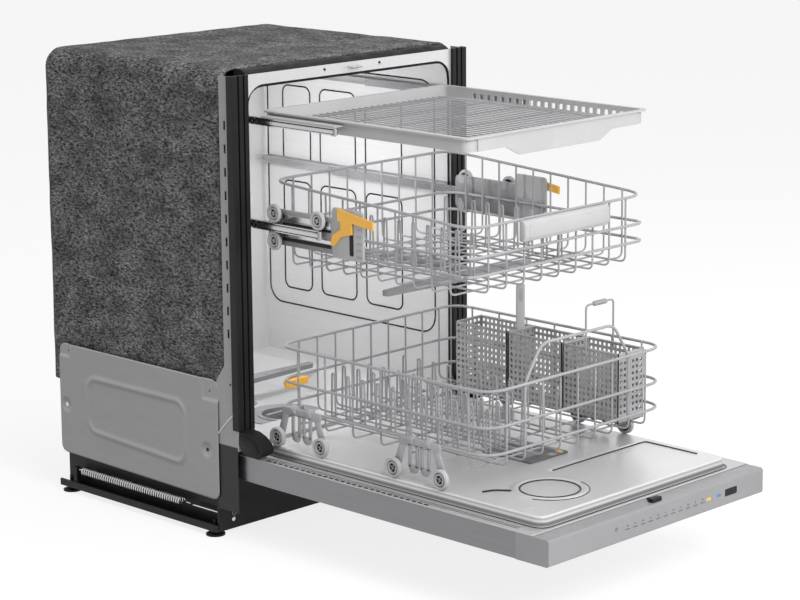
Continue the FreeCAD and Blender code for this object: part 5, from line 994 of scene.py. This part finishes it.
class DISHWASHER_OT_lower_rack(Operator):
    """Bends the wires of the lower rack and its tines"""
    bl_idname = "dishwasher.lower_rack"
    bl_label = "Lower rack"

    def execute(self, context):
        plan = box(-233.4, -548.4, 233.4, -30.6)
        rails = [bent(lying(plan, level), RAIL_BEND, closed=True, steps=8) for level in (368, 305, 258)]
        handle = ((-137, 258), (-137, 368), (-95, 430), (95, 430), (137, 368), (137, 258))
        rails.append(bent(standing(handle, -543.2), 18))
        top, under, floor = 370, 229, 232.6
        thin = [across(y, 229, top, under) for y in spread(-498.6, -80.4, 7)]
        thin += [along(x, -544, -35, top, top, floor) for x in spread(-183.6, 183.6, 9)]
        sizes = context.scene.dishwasher_racks
        basket = [wires(rails, sizes.rail_wire, "nylon_wire", 14), wires(thin, sizes.thin_wire, "nylon_wire")]
        piece("lower_rack_wires", basket, "lower_rack", "nylon_wire", "lower_basket")
        rows = []
        for x in (-160, -69, 23):
            rows += self.tines(x, floor, 0)
        tines = Parts([wires(rows, sizes.thin_wire, "nylon_wire")])
        for y in (-428.9, -150.1):
            tines.block("grey_plastic", oblong(-119, y - 4, -111, y + 4, 2), "Z", 231, 239, 0.8)
        piece("fixed_tines", tines, "lower_rack", "nylon_wire", "lower_tines")
        row = wires(self.tines(-115, 234.7, 19), sizes.thin_wire, "nylon_wire")
        piece("folding_tines", [row], "fold_row", "nylon_wire", "fold_tines")
        flap = [(-226, 301.8), (-168, 301.8), (-164, 298), (-168, 288), (-196, 284), (-222, 288)]
        hook = Parts()
        hook.block("amber_plastic", flap, "Y", -41, -36.5, 1.4)
        hook.block("amber_plastic", box(-43, 298, -26.5, 302), "X", -214, -176, 1.4)
        piece("rack_clip", hook, "lower_rack", "amber_plastic")
        return {"FINISHED"}

    def tines(self, x, base, shift):
        """Narrow hairpin tines on a base wire."""
        pitch, tall = 38, 82
        places = [-289.5 + shift + (k - 5) * pitch for k in range(11)]
        lines = [([(x, places[0] - pitch / 2, base), (x, places[-1] + pitch / 2, base)], False)]
        return lines + [hairpin(x, y, 5.5, 3.2, base, base + tall) for y in places]


WHEEL_LEVEL = 203.3  # height of the lower wheels' axles


class DISHWASHER_OT_wheels(Operator):
    """Makes the carriers and the wheels under the lower rack"""
    bl_idname = "dishwasher.wheels"
    bl_label = "Lower wheels"

    def execute(self, context):
        carriers = []
        for middle in (-392, -98):
            carriers += self.carrier(middle)
        piece("moulded_carriers", both(carriers), "lower_rack", "grey_plastic", "wheel_carriers")
        for number, y in enumerate((-448, -336, -154, -42), 1):
            parts = wheel_parts(-241, -250, y, WHEEL_LEVEL, 18.0)
            piece(
                f"ringed_wheels_{number}", both(parts), f"wheels_{number}", "grey_plastic",
                f"lower_wheels_{number}"
            )
        return {"FINISHED"}

    def carrier(self, middle):
        """A hanger with two slotted skirts between its axle bosses."""
        parts = Parts()
        parts.block("grey_plastic", oblong(middle - 50, 247, middle + 50, 261, 4), "X", -239.8, -236.4, 1.0)
        for side in (-1, 1):
            leg = ((30, 256), (44, 256), (62, 212), (60, 197), (50, 197), (44, 212))
            leg = [(middle + side * y, z) for y, z in leg]
            parts.block("grey_plastic", leg, "X", -239.4, -236.6, 1.0)
            skirt = middle + side * 14
            foot = arc(skirt, 210.3, 11.6, spread(math.pi, 2 * math.pi, 13))
            cup = [(skirt - 11.6, 214)] + foot + [(skirt + 11.6, 214)]
            parts.block("grey_plastic", cup, "X", -239.8, -236.8, 0.9)
            for edge in (-11.6, 5.2):
                parts.block(
                    "grey_plastic", oblong(skirt + edge, 210, skirt + edge + 6.4, 250, 1), "X", -239.8,
                    -236.8, 0.8
                )
            axle = middle + side * 56
            boss = [(-236.2, 8.5), (-239.9, 8.5), (-240.4, 7.8), (-240.4, 4), (-246, 3.4), (-246.2, 0)]
            parts.turned("grey_plastic", boss, "X", axle, WHEEL_LEVEL)
            clip = [
                (-242.0, 252), (-229.0, 252), (-228.0, 260), (-230.5, 264.5), (-239.5, 264.5), (-242.6, 260)
            ]
            parts.block("grey_plastic", clip, "Y", middle + side * 20 - 6, middle + side * 20 + 6, 1.4)
        return parts


def wheel_parts(inner, outer, y, z, radius):
    """A wheel with a thick light tyre, a recessed web, a light ring and a hub with a cross; a black disc
    behind them is painted shade that darkens the web and the hub.
    """
    out = 1 if outer > inner else -1
    web = outer - out * 3.4
    tyre = [
        (inner, radius - 5.4), (inner, radius - 1), (inner + out, radius), (outer - out * 1.4, radius),
        (outer, radius - 1.4), (outer, radius - 4.2), (outer - out * 0.8, radius - 5.4)
    ]
    rim = [
        (web, radius * 0.60), (outer - out * 0.9, radius * 0.60), (outer - out * 0.3, radius * 0.56),
        (outer - out * 0.3, radius * 0.48), (outer - out * 0.9, radius * 0.44), (web, radius * 0.44)
    ]
    # painted shade: a black disc stands for the shade in the recessed web and the hub
    plate = [(inner + out * 0.4, radius - 5.2), (web, radius - 5.2)]
    parts = Parts()
    parts.turned("wheel_tyre", tyre, "X", y, z, closed=True)
    parts.turned("pale_plastic", rim, "X", y, z, closed=True)
    parts.turned("black_moulding", plate, "X", y, z)
    for angle in (0.4, 0.4 + math.pi / 2):
        along = Vector((math.cos(angle), math.sin(angle))) * radius * 0.34
        across = Vector((-along.y, along.x)).normalized() * 0.7
        middle = Vector((y, z))
        outline = [
            tuple(middle - along - across), tuple(middle + along - across), tuple(middle + along + across),
            tuple(middle - along + across)
        ]
        parts.block("grey_plastic", outline, "X", web, outer - out * 1.6, 0.3)
    return parts


# Cutlery basket

class DISHWASHER_OT_cutlery(Operator):
    """Moulds the three lattice modules, the carrying post and the bail"""
    bl_idname = "dishwasher.cutlery"
    bl_label = "Cutlery basket"

    def execute(self, context):
        parts = Parts()
        for number in range(3):
            parts += self.module(-118 - 134 * number)
        parts.block("pale_plastic", oblong(167, 238, 189, 449, 6), "Y", -251.7, -248.3, 1.0)
        parts.block("grey_plastic", oblong(173, 416, 183, 440, 4), "Y", -252.1, -247.9, 0.6)
        piece("lattice_baskets", parts, "lower_rack", "pale_plastic", "cutlery_basket")
        y = -442.17
        hoop = ((144.6, 348), (139.9, 348), (139.9, 442), (216.1, 442), (216.1, 348), (211.4, 348))
        bail = bent(standing(hoop, y), 9)
        parts = Parts([wires([bail], 1.8, "nylon_wire", 12)])
        grip = [(160, 0), (160, 3.2), (161.2, 4.2), (194.8, 4.2), (196, 3.2), (196, 0)]
        parts.turned("grey_plastic", grip, "X", y, 442)
        for x in spread(165, 191, 7):
            rib = [(x - 1, 4.0), (x - 0.6, 4.7), (x + 0.6, 4.7), (x + 1, 4.0)]
            parts.turned("grey_plastic", rib, "X", y, 442)
        piece("basket_bail", parts, "bail", "nylon_wire", "cutlery_bail")
        return {"FINISHED"}

    def module(self, rear):
        """One open module: moulded walls with rows of square holes, and a barred floor."""
        long, wall, upright, bar, slat = 130, 1.6, 4.6, 5.4, 3.4
        front = rear - long
        left, right, low, high = 142.4, 213.6, 235.6, 364
        up = (0, 0, high - low - bar)
        rows = [
            (box(left, front, left + slat, rear), "Z", low, wall, 9, (right - left - slat, 0, 0)),
            (box(left, front, right, front + slat), "Z", low + 0.1, wall - 0.2, 14, (0, long - slat, 0)),
        ]
        for x in (left, right - wall):
            rows.append((box(front, low, front + upright, high), "X", x, wall, 13, (0, long - upright, 0)))
            rows.append((box(front, low, rear, low + bar), "X", x + 0.1, wall - 0.2, 12, up))
        for y in (front, rear - wall):
            rows.append((
                box(left, low, left + upright, high), "Y", y, wall, 7, (right - left - upright, 0, 0)
            ))
            rows.append((box(left, low, right, low + bar), "Y", y + 0.1, wall - 0.2, 12, up))
        parts = [self.row(*values) for values in rows]
        rim = lying(box(left + 1, front + 1, right - 1, rear - 1), high - 1.8)
        parts.append(wires([bent(rim, 5, closed=True)], 1.8, "basket_plastic", 8))
        return parts

    def row(self, outline, axis, start, thick, count, way):
        """Equal bars in a row; the way leads from the first to the last, in millimetres."""
        step = tuple(length / (1000 * (count - 1)) for length in way)
        bar = block(outline, axis, start, start + thick)
        return grown("rows", bar, "basket_plastic", Count=count, Step=step), "basket_plastic"


# Upper rack

ROLLERS = (("rear", -46, 614.3), ("front", -158, 614.3), ("below", -46, 564.7))  # places of the axles


class DISHWASHER_OT_upper_rack(Operator):
    """Bends the wires of the upper rack and makes its grip, adjusters and rollers"""
    bl_idname = "dishwasher.upper_rack"
    bl_label = "Upper rack"

    def execute(self, context):
        rim = [(-229.4, -503.4, 640), (229.4, -503.4, 640), (229.4, -18.6, 668), (-229.4, -18.6, 668)]
        rails = [bent(rim, RAIL_BEND, closed=True, steps=8)]
        for level in (589, 557):
            rails.append(bent(lying(gate(229.4, -486, -18.6), level), RAIL_BEND, steps=8))
            nose = ((-226, -494), (-214, -503.4), (214, -503.4), (226, -494))
            rails.append(bent(lying(nose, level), 9))
        under, floor = 520, 523.6
        thin = [across(y, 225, self.top(y), under) for y in spread(-453.6, -68.4, 10)]
        thin += [along(x, -499, -23, 639, 667, floor) for x in spread(-179.6, 179.6, 9)]
        for x in (-114.75, 114.75):
            thin.append(([(x, -425, floor), (x, -98, floor)], False))
            thin += [hairpin(x, y, 5, 3, floor, 605) for y in spread(-401.2, -120.8, 9)]
        sizes = context.scene.dishwasher_racks
        basket = [wires(rails, sizes.rail_wire, "nylon_wire", 14), wires(thin, sizes.thin_wire, "nylon_wire")]
        piece("upper_rack_wires", basket, "upper_rack", "nylon_wire", "upper_basket")
        section = [(-506, 603), (-506, 639.5), (-516, 639.5), (-520.5, 634), (-521, 612), (-517, 603)]
        grip = Parts()
        grip.block("pale_plastic", section, "X", -111, 111, 2.6, 3)
        grip.block("pale_plastic", oblong(-100, 609, 100, 632, 6), "Y", -521.3, -520.2, 0.5)
        piece("flat_grip", grip, "upper_rack", "pale_plastic", "upper_grip")
        piece("ladder_adjusters", both(self.adjuster()), "carriage", "grey_plastic", "height_adjusters")
        for name, y, z in ROLLERS:
            roller = both(wheel_parts(-245.6, -252.4, y, z, 17.0))
            piece(
                f"ringed_rollers_{name}", roller, f"rollers_{name}", "grey_plastic", f"upper_rollers_{name}"
            )
        return {"FINISHED"}

    def top(self, y):
        """Height of the sloping top rail."""
        return 668 - 28 * (-y - 16) / 490

    def adjuster(self):
        """A ribbed plate with a ladder of notches at its front and roller axles behind."""
        parts = Parts()
        parts.block("pale_plastic", oblong(-262, 552, -184, 641, 7), "X", -239.9, -236.2, 1.0)
        parts.block("zinc_steel", oblong(-190, 557, -29.5, 622, 9), "X", -239.7, -236.4, 1.0)
        strips = (
            (600, 613, "bright_steel"), (594.5, 599, "black_moulding"), (574, 581, "bright_steel"),
            (566, 572, "black_moulding")
        )
        for low, high, tone in strips:
            parts.block(tone, oblong(-182, low, -60, high, 1.5), "X", -241.2, -239, 0.5)
        for z in spread(560, 632, 7):
            parts.block("grey_plastic", oblong(-259, z - 2.2, -246, z + 2.2, 1.4), "X", -240.5, -239.5, 0.3)
        parts.block("black_moulding", oblong(-238, 560, -228, 634, 4), "X", -240.3, -239.5, 0.2)
        boss = [(-235.8, 8), (-241.5, 8), (-242.2, 7.2), (-242.2, 4), (-251.2, 3.4), (-251.2, 0)]
        for _, y, z in ROLLERS:
            parts.turned("grey_plastic", boss, "X", y, z)
        return parts


# Third rack

class DISHWASHER_OT_third_rack(Operator):
    """Lays the wire floor of the third rack"""
    bl_idname = "dishwasher.third_rack"
    bl_label = "Third rack"

    def execute(self, context):
        long_wires = [([(x, -496, 772.5), (x, -9, 772.5)], False) for x in spread(-213, 213, 27)]
        cross = [([(-227, y, 769.5), (227, y, 769.5)], False) for y in spread(-482, -23, 6)]
        piece(
            "wire_floor", [wires(long_wires, 1.4, "nylon_wire", 8), wires(cross, 1.5, "nylon_wire", 8)],
            "third_rack", "nylon_wire", "third_grid"
        )
        return {"FINISHED"}


# Stage

def seen_rays(tree):
    """One for the rays that show the backdrop: those from the eye, by mirror or through glass."""
    ray = tree.nodes.new("ShaderNodeLightPath")
    result = ray.outputs["Is Camera Ray"]
    for label in ("Is Glossy Ray", "Is Transmission Ray"):
        result = worked_out(tree, "MAXIMUM", result, ray.outputs[label])
    return result


def mix_shaders(tree, share, first, second, end):
    """Brings two shaders to the tree's end, the second by a share."""
    mix = tree.nodes.new("ShaderNodeMixShader")
    for source, socket in zip((share, first.outputs[0], second.outputs[0]), mix.inputs):
        tree.links.new(source, socket)
    fill(tree, tree.nodes[end], Surface=mix.outputs[0])


class DISHWASHER_OT_stage(Operator):
    """Sets the floor, the light and the camera"""
    bl_idname = "dishwasher.stage"
    bl_label = "Stage"

    def execute(self, context):
        scene = context.scene
        scene.view_settings.view_transform = "Standard"
        self.floor(scene.dishwasher_stage.floor)
        self.sky(scene)
        self.lamps()
        self.camera(scene, scene.dishwasher_stage.lens)
        return {"FINISHED"}

    def floor(self, half):
        """A white floor that takes a soft shadow."""
        data = bpy.data.meshes.new("floor")
        corners = lying(box(-half, -half, half, half), -0.0005)
        data.from_pydata(corners, [], [(0, 1, 2, 3)])
        plate = placed("floor", data)
        material, tree, shader = tree_of("floor_white")
        fill(tree, shader, Base_Color=(0.96, 0.96, 0.96, 1), Roughness=0.9, Specular_IOR_Level=0.1)
        glow = feature(tree, "ShaderNodeEmission", Color=(1, 1, 1, 1), Strength=1.05)
        share = feature(tree, "ShaderNodeMath", operation="MULTIPLY")
        share.inputs[1].default_value = 0.78
        tree.links.new(seen_rays(tree), share.inputs[0])
        mix_shaders(tree, share.outputs[0], shader, glow, "Material Output")
        data.materials.append(material)

    def sky(self, scene):
        """An even white world."""
        world = bpy.data.worlds.new("studio")
        scene.world = world
        world.use_nodes = True
        tree = world.node_tree
        ground = fill(tree, tree.nodes["Background"], Color=(1, 1, 1, 1), Strength=0.42)
        white = feature(tree, "ShaderNodeBackground", Color=(1, 1, 1, 1), Strength=1.0)
        mix_shaders(tree, seen_rays(tree), ground, white, "World Output")

    def lamps(self):
        """Square lamps, each with its place, aim, size and power."""
        for name, place, aim, size, power in (
            ("key", (-1.1, -3.3, 2.7), (0, -0.2, 0.5), 1.6, 84),
            ("fill", (2.8, -2.2, 1.8), (0, 0, 0.5), 2.2, 36),
            ("top", (0.2, -0.6, 3.4), (0, -0.1, 0.4), 2.4, 44),
            ("inner", (-0.16, 0.30, 0.74), (0.25, 0.40, 0.3), 0.16, 4.2),
            ("mouth", (-0.5, -1.9, 1.5), (0.1, 0.4, 0.45), 0.8, 12),
        ):
            data = bpy.data.lights.new(name, "AREA")
            data.shape = "SQUARE"
            data.size = size
            data.energy = power
            lamp = placed(name, data)
            lamp.location = place
            lamp.visible_camera = False
            lamp.visible_glossy = False
            lamp.rotation_mode = "QUATERNION"
            lamp.rotation_quaternion = (Vector(aim) - Vector(place)).to_track_quat("-Z", "Y")

    def camera(self, scene, lens):
        """The camera fitted to the photograph's edges."""
        data = bpy.data.cameras.new("camera")
        data.sensor_width = 36
        data.lens = lens
        wide, tall = 800, 600
        across, down = 450, 220  # where the camera's axis meets the picture
        data.shift_x = (wide / 2 - across) / wide
        data.shift_y = (down - tall / 2) / wide
        eye = placed("camera", data)
        yaw, pitch, roll = 0.8108, -0.1848, -0.0047
        forward = Vector((math.sin(yaw) * math.cos(pitch), math.cos(yaw) * math.cos(pitch), math.sin(pitch)))
        right = Vector((math.cos(yaw), -math.sin(yaw), 0))
        up = right.cross(forward)
        side = right * math.cos(roll) + up * math.sin(roll)
        top = up * math.cos(roll) - right * math.sin(roll)
        turn = Matrix((side, top, -forward)).transposed()
        eye.matrix_world = Matrix.Translation(spot(-3240.9, -3320.4, 1427.7)) @ turn.to_4x4()
        data.clip_end = 60
        scene.camera = eye


class DISHWASHER_PT_panel(Panel):
    """Lists what the add-on makes"""
    bl_idname = "DISHWASHER_PT_panel"
    bl_label = "Dishwasher"
    bl_space_type = "VIEW_3D"
    bl_region_type = "UI"
    bl_category = "Dishwasher"

    def draw(self, context):
        for operator in OPERATORS:
            self.layout.operator(operator.bl_idname)
        for group in (
            context.scene.dishwasher_colours, context.scene.dishwasher_racks, context.scene.dishwasher_stage
        ):
            for key in type(group).__annotations__:
                self.layout.prop(group, key)


OPERATORS = (
    DISHWASHER_OT_finishes,
    DISHWASHER_OT_insulation,
    DISHWASHER_OT_tub,
    DISHWASHER_OT_covers,
    DISHWASHER_OT_rails,
    DISHWASHER_OT_springs,
    DISHWASHER_OT_door,
    DISHWASHER_OT_lower_rack,
    DISHWASHER_OT_wheels,
    DISHWASHER_OT_cutlery,
    DISHWASHER_OT_upper_rack,
    DISHWASHER_OT_third_rack,
    DISHWASHER_OT_stage,
)
CLASSES = (FinishColours, RackSizes, StageSizes) + OPERATORS + (DISHWASHER_PT_panel,)


def register():
    """Registers the classes and the scene's settings."""
    for item in CLASSES:
        bpy.utils.register_class(item)
    bpy.types.Scene.dishwasher_colours = PointerProperty(type=FinishColours)
    bpy.types.Scene.dishwasher_racks = PointerProperty(type=RackSizes)
    bpy.types.Scene.dishwasher_stage = PointerProperty(type=StageSizes)


def unregister():
    """Takes the settings and the classes away again."""
    del bpy.types.Scene.dishwasher_stage
    del bpy.types.Scene.dishwasher_racks
    del bpy.types.Scene.dishwasher_colours
    for item in reversed(CLASSES):
        bpy.utils.unregister_class(item)


def main():
    """Builds the whole scene."""
    register()
    for operator in OPERATORS:
        group, name = operator.bl_idname.split(".")
        getattr(getattr(bpy.ops, group), name)()


if __name__ == "__main__":
    main()
